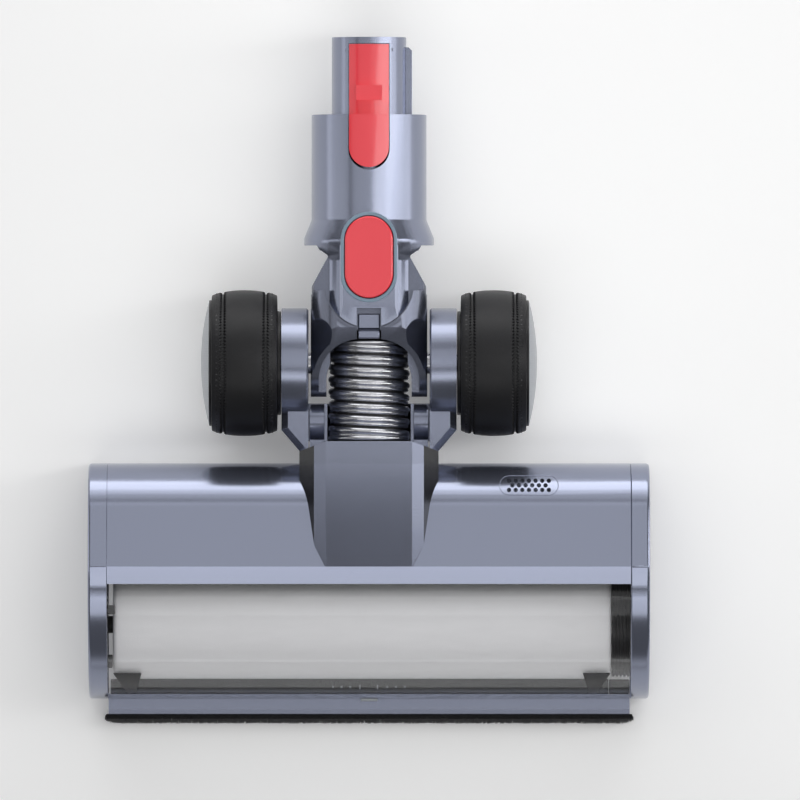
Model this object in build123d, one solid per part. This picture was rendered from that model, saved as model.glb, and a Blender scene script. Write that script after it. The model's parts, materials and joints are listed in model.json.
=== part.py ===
from build123d import *
import math
import os

# Vacuum floor brush head. X runs across, Y runs back along the neck, Z is up, floor at Z 0.
# All sizes are in millimetres.

# wheels and axle
wheel_radius = 33.6
tyre_width = 30.3
tyre_wall = 5.0
tyre_groove_width = 2.1
tyre_groove_depth = 2.0
tyre_groove_offset = 9.9
tyre_side_drop = 1.5
shield_radius = 23.9
shield_width = 1.6
hub_ring_drop = 4.6
hub_ring_width = 1.1
hub_dome_height = 3.8
axle_radius = 4.0
bush_wall = 2.5
running_clearance = 0.05
body_clearance = 0.3
cut_over = 1.0

clip_room = 6.0
clip_seat = 3.0
clip_thickness = 1.0

# drums that carry the wheels
drum_radius = 25.3
drum_width = 12.4
drum_wall = 2.4
drum_boss_radius = 9.0
pivot_pin_radius = 5.0

# coil hose and its cuffs
hose_radius = 18.85
hose_wall = 2.6
hose_pitch = 5.6
hose_bead = 1.9
cuff_length = 4.0
hose_side_gap = 0.75
cradle_gap = 0.35
cradle_wall = 1.4
cradle_setback = 3.0
cradle_wing_drop = 12.0

# tilting yoke
arm_thickness = 7.2
yoke_gap = 1.1
arm_nose_radius = 15.6
hood_half_height = 24.0
hood_corner_radius = 13.0
hood_start = 16.5
mouth_crown = 11.0
bulkhead_front = 15.0
bulkhead_back = 31.5
shoulder_start = 34.3
shoulder_end = 50.3
plate_half_height = 17.4
plate_thickness = 3.0
concave_clearance = 0.7
mouth_rim = 3.7
mouth_rim_radius = 19.0
mouth_ledge = 8.0
rim_width = 2.6
hollow_radius = 22.7
hollow_out = 11.2
hollow_back = 7.5
hollow_foot = 8.0
hollow_drop = 20.0
tongue_width = 9.9
tongue_length = 11.4
tongue_height = 3.4

# steering joint and gaiter
steer_offset = 36.35
ear_gap = 0.3
ear_half_width = 18.1
lobe_radius = 20.0
lobe_notch_width = 11.2
lobe_notch_depth = 9.0
steer_pin_radius = 4.0
gaiter_radius = 13.9
gaiter_wall = 1.9
gaiter_pitch = 3.6
gaiter_fold = 1.2

# upper neck
flange_offset = 17.85
flange_radius = 29.9
flange_length = 3.3
cone_length = 8.4
collar_radius = 26.5
collar_length = 48.4
collar_wall = 2.2
spigot_radius = 17.2
spigot_wall = 2.4
spigot_length = 35.7
pad_half_width = 13.4
pad_height = 29.6
ear_slope_low = 9.6
ear_slope_length = 10.0
pad_chamfer = 1.5
waist_depth = 7.1
pin_recess = 5.0

# oval button
button_radius = 11.05
button_straight = 15.5
button_centre = 12.3
button_thickness = 3.6
button_proud = 1.6
button_travel = 2.0
button_gap = 0.3
bezel_width = 1.65
bezel_lining = 0.6
bezel_height = 1.0
bezel_skirt = 4.5
pocket_depth = 6.6

# release latch
latch_half_width = 9.15
latch_gap = 0.35
latch_end_gap = 0.8
latch_thickness = 2.4
latch_tip = 3.3
latch_reach = 24.3
latch_plate = 3.0
latch_tooth_width = 12.0
latch_tooth_length = 6.9
latch_tooth_height = 1.6
latch_tooth_back = 22.2
latch_pin_radius = 1.2
latch_pin_depth = 4.6
latch_pin_half = 11.0
latch_floor_drop = 6.7
latch_floor_wall = 1.5
spring_radius = 3.6
spring_wire = 1.1

# electrical plug on the side of the spigot
plug_thickness = 3.1
plug_height = 8.0
plug_length = 31.1
plug_embed = 0.5
contact_radius = 0.8
contact_spacing = 4.0

# head casing
head_width = 258.2
end_cap_width = 8.8
cap_edge = 0.8
casing_wall = 2.2
block_gap = 35.9
block_overhang = 10.3
cover_depth = 47.2
facet_length = 8.0
facet_drop = 1.4
cover_rise = 11.8
cover_rear_radius = 27.0
sole_height = 4.0
base_thickness = 2.4
lip_top = 14.0
lip_depth = 7.1
bumper_lift = 1.0
bristle_depth = 4.9
bristle_overhang = 2.0
bristle_length = 12.0
felt_depth = 5.0
felt_lift = 1.0
comb_depth = 7.0
comb_height = 6.0
comb_end = 1.0

# central block over the inlet
block_flat_half = 19.8
block_bevel_half = 25.2
block_side_half = 32.0
block_proud = 1.2
block_bevel_drop = 3.7
block_side_drop = 15.0
block_bottom = 9.0
block_wall = 2.6
block_rear_chamfer = 4.6
block_front_chamfer = 9.7
knuckle_radius = 9.0
knuckle_setback = 27.5
knuckle_drop = 3.6
strut_half_height = 12.0
strut_bend = 5.1
strut_chamfer = 3.0

# roller and drive
roller_radius = 25.0
roller_floor_gap = 1.0
pile_thickness = 4.5
core_wall = 2.0
roller_clearance = 2.1
window_offset_y = 19.1
window_offset_z = 15.0
roller_left_gap = 2.5
drive_width = 8.8
bearing_radius = 8.0
journal_radius = 4.0
bearing_width = 5.0
motor_radius = 15.5
motor_length = 62.0
motor_wall = 2.0
motor_slot_length = 9.0
motor_slot_width = 6.0
rotor_radius = 7.5
gearbox_length = 22.0
gearbox_radius = 13.5
dog_radius = 9.0
dog_length = 7.0
motor_shaft_radius = 3.0
lock_radius = 11.0
lock_slot = 1.8
lock_depth = 2.0
drive_hub_drop = 1.0
drive_groove_count = 4
groove_width = 0.7
chamber_clearance = 2.5
duct_wall = 2.0
duct_radius = 15.0

# vent, board, screws
vent_x = 73.5
vent_back = 10.0
vent_length = 27.0
vent_width = 8.8
vent_hole_radius = 1.0
vent_pitch = 3.05
vent_row_gap = 2.1
board_length = 54.0
board_width = 20.0
board_thickness = 1.6
board_inset = 57.1
standoff_height = 8.0
screw_radius = 1.5
screw_head_radius = 2.9
screw_head_height = 1.6
screw_length = 9.0

# heights and stations worked out from the sizes above
axle_z = wheel_radius
hub_ring_radius = wheel_radius - hub_ring_drop
roller_z = roller_radius + roller_floor_gap
window_centre_z = roller_z - window_offset_z
window_radius = (math.hypot(window_offset_y, window_offset_z) + roller_radius
                 + roller_clearance + casing_wall)
window_top = window_centre_z + window_radius
crease_z = window_top + facet_drop
rear_corner_z = crease_z - cover_rise
block_top = crease_z + block_proud

rear_reach = (steer_offset + flange_offset + flange_length + cone_length
              + collar_length + spigot_length)
front_reach = (block_gap + block_overhang + cover_depth + facet_length
               + window_radius + lip_depth + bristle_depth)
axle_y = (front_reach - rear_reach) / 2
steer_y = axle_y + steer_offset
flange_y = steer_y + flange_offset
cone_y = flange_y + flange_length
collar_y = cone_y + cone_length
spigot_y = collar_y + collar_length
tip_y = spigot_y + spigot_length
block_y = axle_y - block_gap
rear_y = block_y - block_overhang
crease_y = rear_y - cover_depth
window_y = crease_y - facet_length
roller_y = window_y - window_offset_y
front_y = window_y - window_radius
lip_y = front_y - lip_depth
bristle_y = lip_y - bristle_depth

arm_inner = hose_radius + hose_side_gap
yoke_half = arm_inner + arm_thickness
drum_inner = yoke_half + yoke_gap
drum_outer = drum_inner + drum_width
shield_inner = drum_outer + body_clearance
tyre_inner = shield_inner + shield_width
tyre_outer = tyre_inner + tyre_width
ring_outer = tyre_outer + hub_ring_width
board_x = head_width / 2 - board_inset
casing_half = head_width / 2 - end_cap_width
base_top = sole_height + base_thickness
button_y = steer_y + button_centre
latch_pin_z = axle_z + spigot_radius - latch_pin_depth
latch_pin_y = tip_y - latch_tip - latch_thickness
latch_floor = axle_z + spigot_radius - latch_floor_drop
roller_left = -(casing_half - roller_left_gap)
roller_right = casing_half - drive_width


chamber_back_y = roller_y + roller_radius + chamber_clearance + duct_wall
plate_reach = math.hypot(ear_half_width, shoulder_end - steer_offset)
concave_radius = plate_reach + concave_clearance
ear_bottom = plate_half_height + ear_gap
bezel_inner = button_radius + button_gap
bezel_outer = bezel_inner + bezel_width
gaiter_seat_y = steer_y + concave_radius + cuff_length
pocket_floor = axle_z + pad_height - pocket_depth


def cyl_x(radius, x0, x1, y, z):
    return Pos((x0 + x1) / 2, y, z) * Rot(0, 90, 0) * Cylinder(radius, abs(x1 - x0))


def cyl_y(radius, y0, y1, x, z):
    return Pos(x, (y0 + y1) / 2, z) * Rot(90, 0, 0) * Cylinder(radius, abs(y1 - y0))


def cyl_z(radius, z0, z1, x, y):
    return Pos(x, y, (z0 + z1) / 2) * Cylinder(radius, abs(z1 - z0))


def block(x0, x1, y0, y1, z0, z1):
    return Pos((x0 + x1) / 2, (y0 + y1) / 2, (z0 + z1) / 2) * Box(abs(x1 - x0), abs(y1 - y0), abs(z1 - z0))


def prism_x(points, x0, x1):
    face = make_face(Polyline(*points, close=True))
    return Pos(x0, 0, 0) * extrude(Plane.YZ * face, x1 - x0)


def prism_z(points, z0, z1):
    face = make_face(Polyline(*points, close=True))
    return Pos(0, 0, z0) * extrude(face, z1 - z0)


def stadium(radius, straight, y, z0, z1):
    ends = cyl_z(radius, z0, z1, 0, y - straight / 2) + cyl_z(radius, z0, z1, 0, y + straight / 2)
    return ends + block(-radius, radius, y - straight / 2, y + straight / 2, z0, z1)


def lathe_x(points, x_sign, y, z):
    # points are (distance from the axis, distance from the middle of the head)
    face = make_face(Polyline(*[(x_sign * x, r) for r, x in points], close=True))
    return Pos(0, y, z) * revolve(face, Axis.X)


def lathe_y(points, z):
    # points are (radius, y)
    face = make_face(Polyline(*[(r, y) for r, y in points], close=True))
    return Pos(0, 0, z) * revolve(face, Axis.Y)


def mirrored(shape):
    return mirror(shape, Plane.YZ)


def save(shape, node):
    os.makedirs("parts", exist_ok=True)
    export_step(shape, "parts/" + node + ".step")


def tyre(side):
    inner = wheel_radius - tyre_wall
    middle = (tyre_inner + tyre_outer) / 2
    shoulder = wheel_radius - tyre_side_drop
    corner = shoulder - tyre_side_drop
    half_groove = tyre_groove_width / 2
    points = [(inner, tyre_inner), (corner, tyre_inner)]
    for way in (-1, 1):
        near = middle + way * (tyre_groove_offset + half_groove)
        far = middle + way * (tyre_groove_offset - half_groove)
        floor = wheel_radius - tyre_groove_depth
        edge = wheel_radius - tyre_side_drop / 4
        stretch = [(shoulder, near), (floor, near), (floor, far), (edge, far)]
        points += stretch if way < 0 else [(wheel_radius, middle)] + stretch[::-1]
    points += [(corner, tyre_outer), (inner, tyre_outer)]
    return lathe_x(points, side, axle_y, axle_z)


def wheel_rim(side):
    outer = wheel_radius - tyre_wall
    hub = axle_radius + running_clearance + bush_wall
    hub_outer = drum_boss_radius
    ring = outer - drum_wall
    middle = (tyre_inner + tyre_outer) / 2
    web = drum_wall / 2
    points = [(hub, tyre_inner), (hub_outer, tyre_inner), (hub_outer, middle - web), (ring, middle - web),
              (ring, tyre_inner), (outer, tyre_inner), (outer, tyre_outer), (ring, tyre_outer),
              (ring, middle + web), (hub_outer, middle + web), (hub_outer, tyre_outer - clip_room),
              (hub, tyre_outer - clip_room)]
    return lathe_x(points, side, axle_y, axle_z)


def wheel_bush(side):
    bore = axle_radius + running_clearance
    points = [(bore, tyre_inner), (bore + bush_wall, tyre_inner),
              (bore + bush_wall, tyre_outer - clip_room), (bore, tyre_outer - clip_room)]
    return lathe_x(points, side, axle_y, axle_z)


def wheel_shield(side):
    hole = axle_radius + running_clearance + bush_wall / 2
    points = [(hole, shield_inner), (shield_radius, shield_inner),
              (shield_radius, tyre_inner), (hole, tyre_inner)]
    return lathe_x(points, side, axle_y, axle_z)


def hub_ring(side):
    inner = hub_ring_radius - drum_wall
    points = [(inner, tyre_outer), (hub_ring_radius, tyre_outer), (hub_ring_radius, ring_outer),
              (inner, ring_outer)]
    return lathe_x(points, side, axle_y, axle_z)


def hub_cap(side):
    edge = hub_ring_radius
    sphere = (edge ** 2 + hub_dome_height ** 2) / (2 * hub_dome_height)
    centre = ring_outer + hub_dome_height - sphere
    half = edge / 2
    outer_half = centre + math.sqrt(sphere ** 2 - half ** 2)
    cap_wall = hub_dome_height / 2
    outline = Polyline((side * (ring_outer + hub_dome_height), 0), (side * (ring_outer + cap_wall), 0),
                       (side * ring_outer, half), (side * ring_outer, edge))
    arc = ThreePointArc((side * ring_outer, edge), (side * outer_half, half),
                        (side * (ring_outer + hub_dome_height), 0))
    return Pos(0, axle_y, axle_z) * revolve(make_face(outline.edges() + arc.edges()), Axis.X)


def axle(side):
    start = arm_inner + body_clearance
    points = [(0, start), (pivot_pin_radius, start), (pivot_pin_radius, drum_outer),
              (axle_radius, drum_outer), (axle_radius, tyre_outer - clip_seat), (0, tyre_outer - clip_seat)]
    return lathe_x(points, side, axle_y, axle_z)


def axle_clip(side):
    start = tyre_outer - clip_room + body_clearance
    stop = start + clip_thickness
    points = [(axle_radius, start), (axle_radius + bush_wall, start),
              (axle_radius + bush_wall, stop), (axle_radius, stop)]
    return lathe_x(points, side, axle_y, axle_z)


def drum(side):
    bevel = drum_wall / 3
    points = [(pivot_pin_radius, drum_inner), (drum_radius - bevel, drum_inner),
              (drum_radius, drum_inner + bevel), (drum_radius, drum_outer),
              (drum_radius - drum_wall, drum_outer), (drum_radius - drum_wall, drum_inner + drum_wall),
              (drum_boss_radius, drum_inner + drum_wall), (drum_boss_radius, drum_outer),
              (pivot_pin_radius, drum_outer)]
    return lathe_x(points, side, axle_y, axle_z)


def block_shape(inset):
    top = block_top - inset
    bevel = top - block_bevel_drop
    low = block_top - block_side_drop
    section = [(block_side_half - inset, block_bottom + inset), (block_side_half - inset, low),
               (block_bevel_half - inset, bevel), (block_flat_half - inset, top)]
    section += [(-x, z) for x, z in section[::-1]]
    face = make_face(Polyline(*section, close=True))
    body = Pos(0, block_y - inset, 0) * extrude(Plane.XZ * face, block_y - crease_y - 2 * inset)
    plan = [(block_flat_half - inset, crease_y + inset),
            (block_bevel_half - inset, crease_y + block_front_chamfer),
            (block_side_half - inset, crease_y + 2 * block_front_chamfer),
            (block_side_half - inset, block_y - block_rear_chamfer - inset),
            (block_flat_half - inset, block_y - inset)]
    plan += [(-x, y) for x, y in plan[::-1]]
    return body & prism_z(plan, 0, block_top)


def casing_face(inset):
    outline = Polyline((window_y, window_top), (crease_y, crease_z), (rear_y, rear_corner_z),
                       (rear_y, sole_height), (front_y, sole_height), (front_y, window_centre_z))
    arc = CenterArc((window_y, window_centre_z), window_radius, 90, 90)
    face = make_face(outline.edges() + arc.edges())
    corner = face.vertices().sort_by_distance((rear_y, rear_corner_z, 0))[0]
    face = fillet(corner, cover_rear_radius)
    if inset > 0:
        face = offset(face, -inset, kind=Kind.INTERSECTION)
    return face


def casing_solid(inset, x0, x1):
    return Pos(x0, 0, 0) * extrude(Plane.YZ * casing_face(inset), x1 - x0)


def casing_ring():
    return casing_solid(0, -casing_half, casing_half) - casing_solid(casing_wall, -casing_half, casing_half)


def vent_slot(radius_change):
    radius = vent_width / 2 + radius_change
    straight = (vent_length - vent_width) / 2
    y = rear_y - vent_back
    slot = cyl_z(radius, sole_height, block_top, vent_x - straight, y)
    slot += cyl_z(radius, sole_height, block_top, vent_x + straight, y)
    return slot + block(vent_x - straight, vent_x + straight, y - radius, y + radius, sole_height, block_top)


def upper_rear():
    return block(-casing_half, casing_half, window_y, rear_y, base_top, block_top)


def top_cover(ring):
    shell = ring & upper_rear()
    shell -= cyl_y(duct_radius + duct_wall, crease_y, rear_y + casing_wall, 0, axle_z)
    shell -= vent_slot(0)
    return shell + screw_posts()


def vent_grille(ring):
    y = rear_y - vent_back
    plate = (ring & vent_slot(0)) & upper_rear()
    counts = (7, 6, 7)
    for row, count in enumerate(counts):
        for step in range(count):
            x = vent_x + (step - (count - 1) / 2) * vent_pitch
            plate -= cyl_z(vent_hole_radius, base_top, block_top, x, y + (row - 1) * vent_row_gap)
    return plate


def clear_window(ring):
    return ring & block(-casing_half, casing_half, front_y, window_y, lip_top, window_top)


def front_bumper(ring):
    low = sole_height + bumper_lift
    wall = ring & block(-casing_half, casing_half, front_y, front_y + casing_wall, low, lip_top)
    lip = block(-casing_half, casing_half, lip_y, front_y, low, lip_top)
    edge = lip.edges().filter_by(Axis.X).sort_by(Axis.Z)[-2:].sort_by(Axis.Y)[0]
    return chamfer(edge, casing_wall) + wall


def bristle_strip():
    half = casing_half + bristle_overhang
    strip = block(-half, half, bristle_y, lip_y, 0, bristle_length)
    ends = strip.edges().filter_by(Axis.Z).sort_by(Axis.Y)[:2]
    return fillet(ends, bristle_depth * 0.9)


def comb_strip():
    # dark inner rail behind the lower edge of the window
    back = front_y + casing_wall + comb_depth
    low = lip_top - comb_height / 2
    rail = block(-casing_half + comb_end, casing_half - comb_end - drive_width, front_y + casing_wall, back,
                 low, low + comb_height)
    return rail & casing_solid(casing_wall, -casing_half, casing_half)


def base_plate():
    plate = block(-casing_half, casing_half, chamber_back_y, rear_y, sole_height, base_top)
    for x, y in base_screw_places():
        plate -= cyl_z(screw_radius, sole_height, base_top, x, y)
        plate -= cyl_z(screw_head_radius, sole_height, sole_height + screw_head_height, x, y)
    return plate


def base_screw_places():
    inset = 3 * screw_head_radius
    ys = (rear_y - inset, chamber_back_y + inset)
    xs = (-casing_half + inset, -block_side_half - inset, block_side_half + inset, casing_half - inset)
    return [(x, y) for x in xs for y in ys]


def base_screws():
    group = None
    for x, y in base_screw_places():
        screw = cyl_z(screw_radius, sole_height, sole_height + screw_length, x, y)
        screw += cyl_z(screw_head_radius, sole_height, sole_height + screw_head_height, x, y)
        group = screw if group is None else group + screw
    return group


def screw_posts():
    # posts inside the cover that the base screws go into
    group = None
    for x, y in base_screw_places():
        post = cyl_z(2 * screw_radius, base_top, block_top, x, y)
        post -= cyl_z(screw_radius, base_top, sole_height + screw_length, x, y)
        group = post if group is None else group + post
    return group & casing_solid(casing_wall, -casing_half, casing_half)


def felt_strip():
    felt_front = chamber_back_y
    return block(-casing_half, casing_half, felt_front, felt_front + felt_depth, felt_lift, sole_height)


def chamber_wall():
    inner = roller_radius + chamber_clearance
    outer = inner + duct_wall
    shell = cyl_x(outer, -casing_half, casing_half, roller_y, roller_z)
    shell -= cyl_x(inner, -casing_half, casing_half, roller_y, roller_z)
    shell &= block(-casing_half, casing_half, window_y, crease_y + outer, base_top, crease_z)
    rise = math.sqrt(inner ** 2 - window_offset_y ** 2)
    shell += block(-casing_half, casing_half, window_y, window_y + duct_wall, roller_z + rise, crease_z)
    shell &= casing_solid(casing_wall, -casing_half, casing_half)
    return shell - cyl_y(duct_radius, roller_y, rear_y, 0, axle_z)


def inlet_duct():
    outer = roller_radius + chamber_clearance + duct_wall
    tube = cyl_y(duct_radius + duct_wall, window_y + duct_wall, block_y - cuff_length, 0, axle_z)
    tube -= cyl_y(duct_radius, roller_y, block_y, 0, axle_z)
    return tube - cyl_x(outer, -casing_half, casing_half, roller_y, roller_z)


def inlet_block(casing):
    shell = block_shape(0) - block_shape(block_wall)
    shell &= block(-block_side_half, block_side_half, crease_y, rear_y, 0, block_top)
    return shell - casing


def carrier_frame():
    box = block_shape(0) - block_shape(block_wall)
    box &= block(-block_side_half, block_side_half, rear_y, block_y, 0, block_top)
    box -= cyl_y(hose_radius, block_y - block_overhang, block_y, 0, axle_z)
    corner_y = block_y - block_rear_chamfer
    low = axle_z - strut_half_height
    high = axle_z + strut_half_height
    start = axle_y - drum_radius / 2
    strut = prism_z([(drum_inner, start), (drum_outer, start), (drum_outer, block_y + strut_bend),
                     (block_side_half, corner_y), (drum_inner, corner_y)], low, high)
    rim = strut.edges().filter_by(Plane.XY).group_by(Axis.Z)[-1]
    corner = strut.edges().filter_by(Axis.Z).sort_by(Axis.X)[-1]
    rim = [edge for edge in rim if edge.distance_to(corner) < body_clearance]
    strut = chamfer([edge for edge in rim if edge.center().Y < start - body_clearance], strut_chamfer)
    strut -= cyl_x(drum_radius - drum_wall / 2, drum_inner, drum_outer, axle_y, axle_z)
    cradle_inner = hose_radius + cradle_gap
    cradle_outer = cradle_inner + cradle_wall
    cradle_front = axle_y - arm_nose_radius - cradle_setback
    cradle = cyl_y(cradle_outer, block_y, cradle_front, 0, axle_z)
    cradle -= cyl_y(cradle_inner, block_y, cradle_front, 0, axle_z)
    cradle &= block(-cradle_outer, cradle_outer, block_y, cradle_front, 0, axle_z)
    box += cradle
    wing_top = axle_z - cradle_wing_drop
    wing = block(cradle_inner, drum_inner + cradle_wall, block_y - body_clearance, cradle_front,
                 wing_top - cradle_wall, wing_top)
    wing -= cyl_y(cradle_inner, block_y - cradle_wall, cradle_front, 0, axle_z)
    knuckle_out = drum_inner - 2 * body_clearance
    knuckle_y = axle_y - knuckle_setback
    knuckle_z = axle_z - knuckle_drop
    knuckle = cyl_x(knuckle_radius, arm_inner + yoke_gap, knuckle_out, knuckle_y, knuckle_z)
    knuckle += block(arm_inner + yoke_gap, knuckle_out, corner_y, knuckle_y,
                     knuckle_z - knuckle_radius / 2, knuckle_z + knuckle_radius / 2)
    for side in (1, -1):
        extra = drum(1) + strut + knuckle + wing
        box += extra if side > 0 else mirrored(extra)
    return box - block_shape(block_wall)


def hose_profile(start, stop, pitch, crest, trough, inner):
    # each turn has one fat bead and one thin bead
    count = round((stop - start) / pitch)
    step = (stop - start) / count
    fat = [(0.04, 0.0), (0.08, 0.58), (0.18, 0.88), (0.34, 1.0), (0.50, 0.88), (0.60, 0.58), (0.64, 0.0)]
    thin = [(0.70, 0.0), (0.75, 0.2), (0.82, 0.22), (0.89, 0.2), (0.94, 0.0)]
    points = [(inner, start), (trough, start)]
    for turn in range(count):
        for along, high in fat + thin:
            points.append((trough + high * (crest - trough), start + (turn + along) * step))
    return points + [(trough, stop), (inner, stop)]


def coil_hose():
    trough = hose_radius - hose_wall
    inner = trough - hose_bead
    stop = axle_y + bulkhead_front - cuff_length
    return lathe_y(hose_profile(block_y, stop, hose_pitch, hose_radius, trough, inner), axle_z)


def head_cuff():
    cuff = cyl_y(hose_radius, block_y - cuff_length, block_y, 0, axle_z)
    return cuff - cyl_y(duct_radius, block_y - cuff_length, block_y, 0, axle_z)


def yoke_cuff():
    front = axle_y + bulkhead_front - cuff_length
    back = axle_y + bulkhead_front
    outside = cyl_y(hose_radius, front, back, 0, axle_z)
    return outside - cyl_y(gaiter_radius - gaiter_wall, front, back, 0, axle_z)


def yoke_outline():
    reach = math.hypot(hood_start, hood_half_height)
    turn = math.atan2(hood_half_height, hood_start) + math.acos(arm_nose_radius / reach)
    touch = (arm_nose_radius * math.cos(turn), arm_nose_radius * math.sin(turn))
    side = [(axle_y + touch[0], axle_z + touch[1]), (axle_y + hood_start, axle_z + hood_half_height),
            (axle_y + shoulder_end, axle_z + hood_half_height),
            (axle_y + shoulder_end, axle_z - hood_half_height),
            (axle_y + hood_start, axle_z - hood_half_height), (axle_y + touch[0], axle_z - touch[1])]
    body = prism_x(side, -yoke_half, yoke_half)
    body += cyl_x(arm_nose_radius, -yoke_half, yoke_half, axle_y, axle_z)
    section = RectangleRounded(2 * yoke_half, 2 * hood_half_height, hood_corner_radius)
    length = arm_nose_radius + shoulder_end
    body &= Pos(0, axle_y + shoulder_end, axle_z) * extrude(Plane.XZ * section, length)
    slant_y = axle_y + shoulder_start
    plan = [(ear_half_width, axle_y + shoulder_end), (yoke_half, slant_y),
            (yoke_half, axle_y - arm_nose_radius)]
    plan += [(-x, y) for x, y in plan[::-1]]
    return body & prism_z(plan, axle_z - hood_half_height, axle_z + hood_half_height)


def mouth_step(grow, low):
    # the wider upper part of the mouth, which leaves a rim round it and a ledge inside
    half = yoke_half - mouth_rim + grow
    radius = mouth_rim_radius + grow
    crown_y = axle_y + mouth_crown + grow
    bend_y = crown_y - radius
    high = axle_z + hood_half_height
    step = block(-half, half, axle_y - arm_nose_radius, bend_y, low, high)
    step += block(radius - half, half - radius, bend_y, crown_y, low, high)
    for side in (-1, 1):
        step += cyl_z(radius, low, high, side * (half - radius), bend_y)
    return step


def side_hollow():
    # a round hollow that slopes down from the hood to the outside of each arm
    low = axle_z + hood_half_height - hollow_drop
    high = axle_z + hood_half_height
    cone = Cone(hollow_foot, hollow_radius, hollow_drop)
    centre_x = yoke_half + hollow_out
    cut = Pos(centre_x, axle_y + hollow_back, (low + high) / 2) * cone
    cut += Pos(-centre_x, axle_y + hollow_back, (low + high) / 2) * cone
    return cut - mouth_step(rim_width, low)


def yoke_body():
    body = yoke_outline()
    # the lobes of the upper neck turn over and under these plates
    recess = cyl_z(lobe_radius + 2 * ear_gap, plate_half_height, hood_half_height, 0, steer_y)
    recess += block(-yoke_half, yoke_half, steer_y - ear_gap * 10, axle_y + shoulder_end,
                    plate_half_height, hood_half_height)
    body -= Pos(0, 0, axle_z) * recess
    body -= Pos(0, 0, axle_z) * mirror(recess, Plane.XY)
    mouth_y = axle_y + mouth_crown - arm_inner
    front_y_mouth = axle_y - arm_nose_radius
    body -= cyl_z(arm_inner, axle_z - hood_half_height, axle_z + hood_half_height, 0, mouth_y)
    body -= block(-arm_inner, arm_inner, front_y_mouth, mouth_y, axle_z - hood_half_height,
                  axle_z + hood_half_height)
    body -= cyl_y(arm_inner, front_y_mouth, axle_y + bulkhead_front, 0, axle_z)
    body -= side_hollow()
    body -= mouth_step(0, axle_z + mouth_ledge)
    bore = gaiter_radius - gaiter_wall
    body -= cyl_y(bore, axle_y, axle_y + bulkhead_back, 0, axle_z)
    body -= cyl_y(gaiter_radius, axle_y + bulkhead_back - cuff_length, axle_y + bulkhead_back, 0, axle_z)
    inner_half = plate_half_height - plate_thickness
    body -= block(-yoke_half, yoke_half, axle_y + bulkhead_back, axle_y + shoulder_end,
                  axle_z - inner_half, axle_z + inner_half)
    body -= cyl_z(steer_pin_radius + running_clearance, 0, block_top, 0, steer_y)
    body -= cyl_x(pivot_pin_radius + running_clearance, -yoke_half, yoke_half, axle_y, axle_z)
    slot_half = lobe_notch_width / 2
    tongue_back = axle_y + mouth_crown + tongue_length + body_clearance
    slot_low = axle_z + plate_half_height - tongue_height
    return body - block(-slot_half, slot_half, axle_y, tongue_back, slot_low, axle_z + hood_half_height)


def steering_tongue():
    # fixed detent that the notch in the upper lobe lines up with
    front = axle_y + mouth_crown + body_clearance
    back = front + tongue_length
    lobe_front = steer_y - lobe_radius - 2 * ear_gap
    bay = axle_y + bulkhead_front
    floor = axle_z + plate_half_height - tongue_height
    roof = axle_z + arm_inner + body_clearance
    crest = axle_z + hood_half_height - tongue_height / 2
    low = axle_z + plate_half_height
    points = [(back, floor), (back, low - ear_gap), (lobe_front, low), (lobe_front - ear_gap * 3, crest),
              (front, crest - ear_gap), (front, roof), (bay, roof), (bay, floor)]
    return prism_x(points, -tongue_width / 2, tongue_width / 2)


def gaiter():
    start = axle_y + bulkhead_back - cuff_length
    stop = gaiter_seat_y
    inner = gaiter_radius - gaiter_wall
    free_start = axle_y + bulkhead_back
    free_stop = stop - cuff_length
    count = max(2, round((free_stop - free_start) / gaiter_pitch))
    step = (free_stop - free_start) / count
    points = [(inner, start), (gaiter_radius, start), (gaiter_radius, free_start)]
    for fold in range(count):
        points.append((gaiter_radius - gaiter_fold, free_start + (fold + 0.5) * step))
        points.append((gaiter_radius, free_start + (fold + 1) * step))
    points += [(gaiter_radius, stop), (inner, stop)]
    return lathe_y(points, axle_z)


def lobe_plan(low, high):
    plan = cyl_z(lobe_radius, low, high, 0, steer_y)
    plan += block(-lobe_radius, lobe_radius, steer_y, flange_y, low, high)
    plan &= block(-ear_half_width, ear_half_width, steer_y - lobe_radius, flange_y, low, high)
    wedge = flange_radius - ear_half_width
    points = [(ear_half_width, flange_y - waist_depth),
              (ear_half_width + wedge / 10, flange_y - waist_depth * 0.6),
              (ear_half_width + wedge / 3, flange_y - waist_depth / 3), (flange_radius, flange_y)]
    points += [(-x, y) for x, y in points[::-1]]
    return plan + prism_z(points, low, high)


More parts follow.
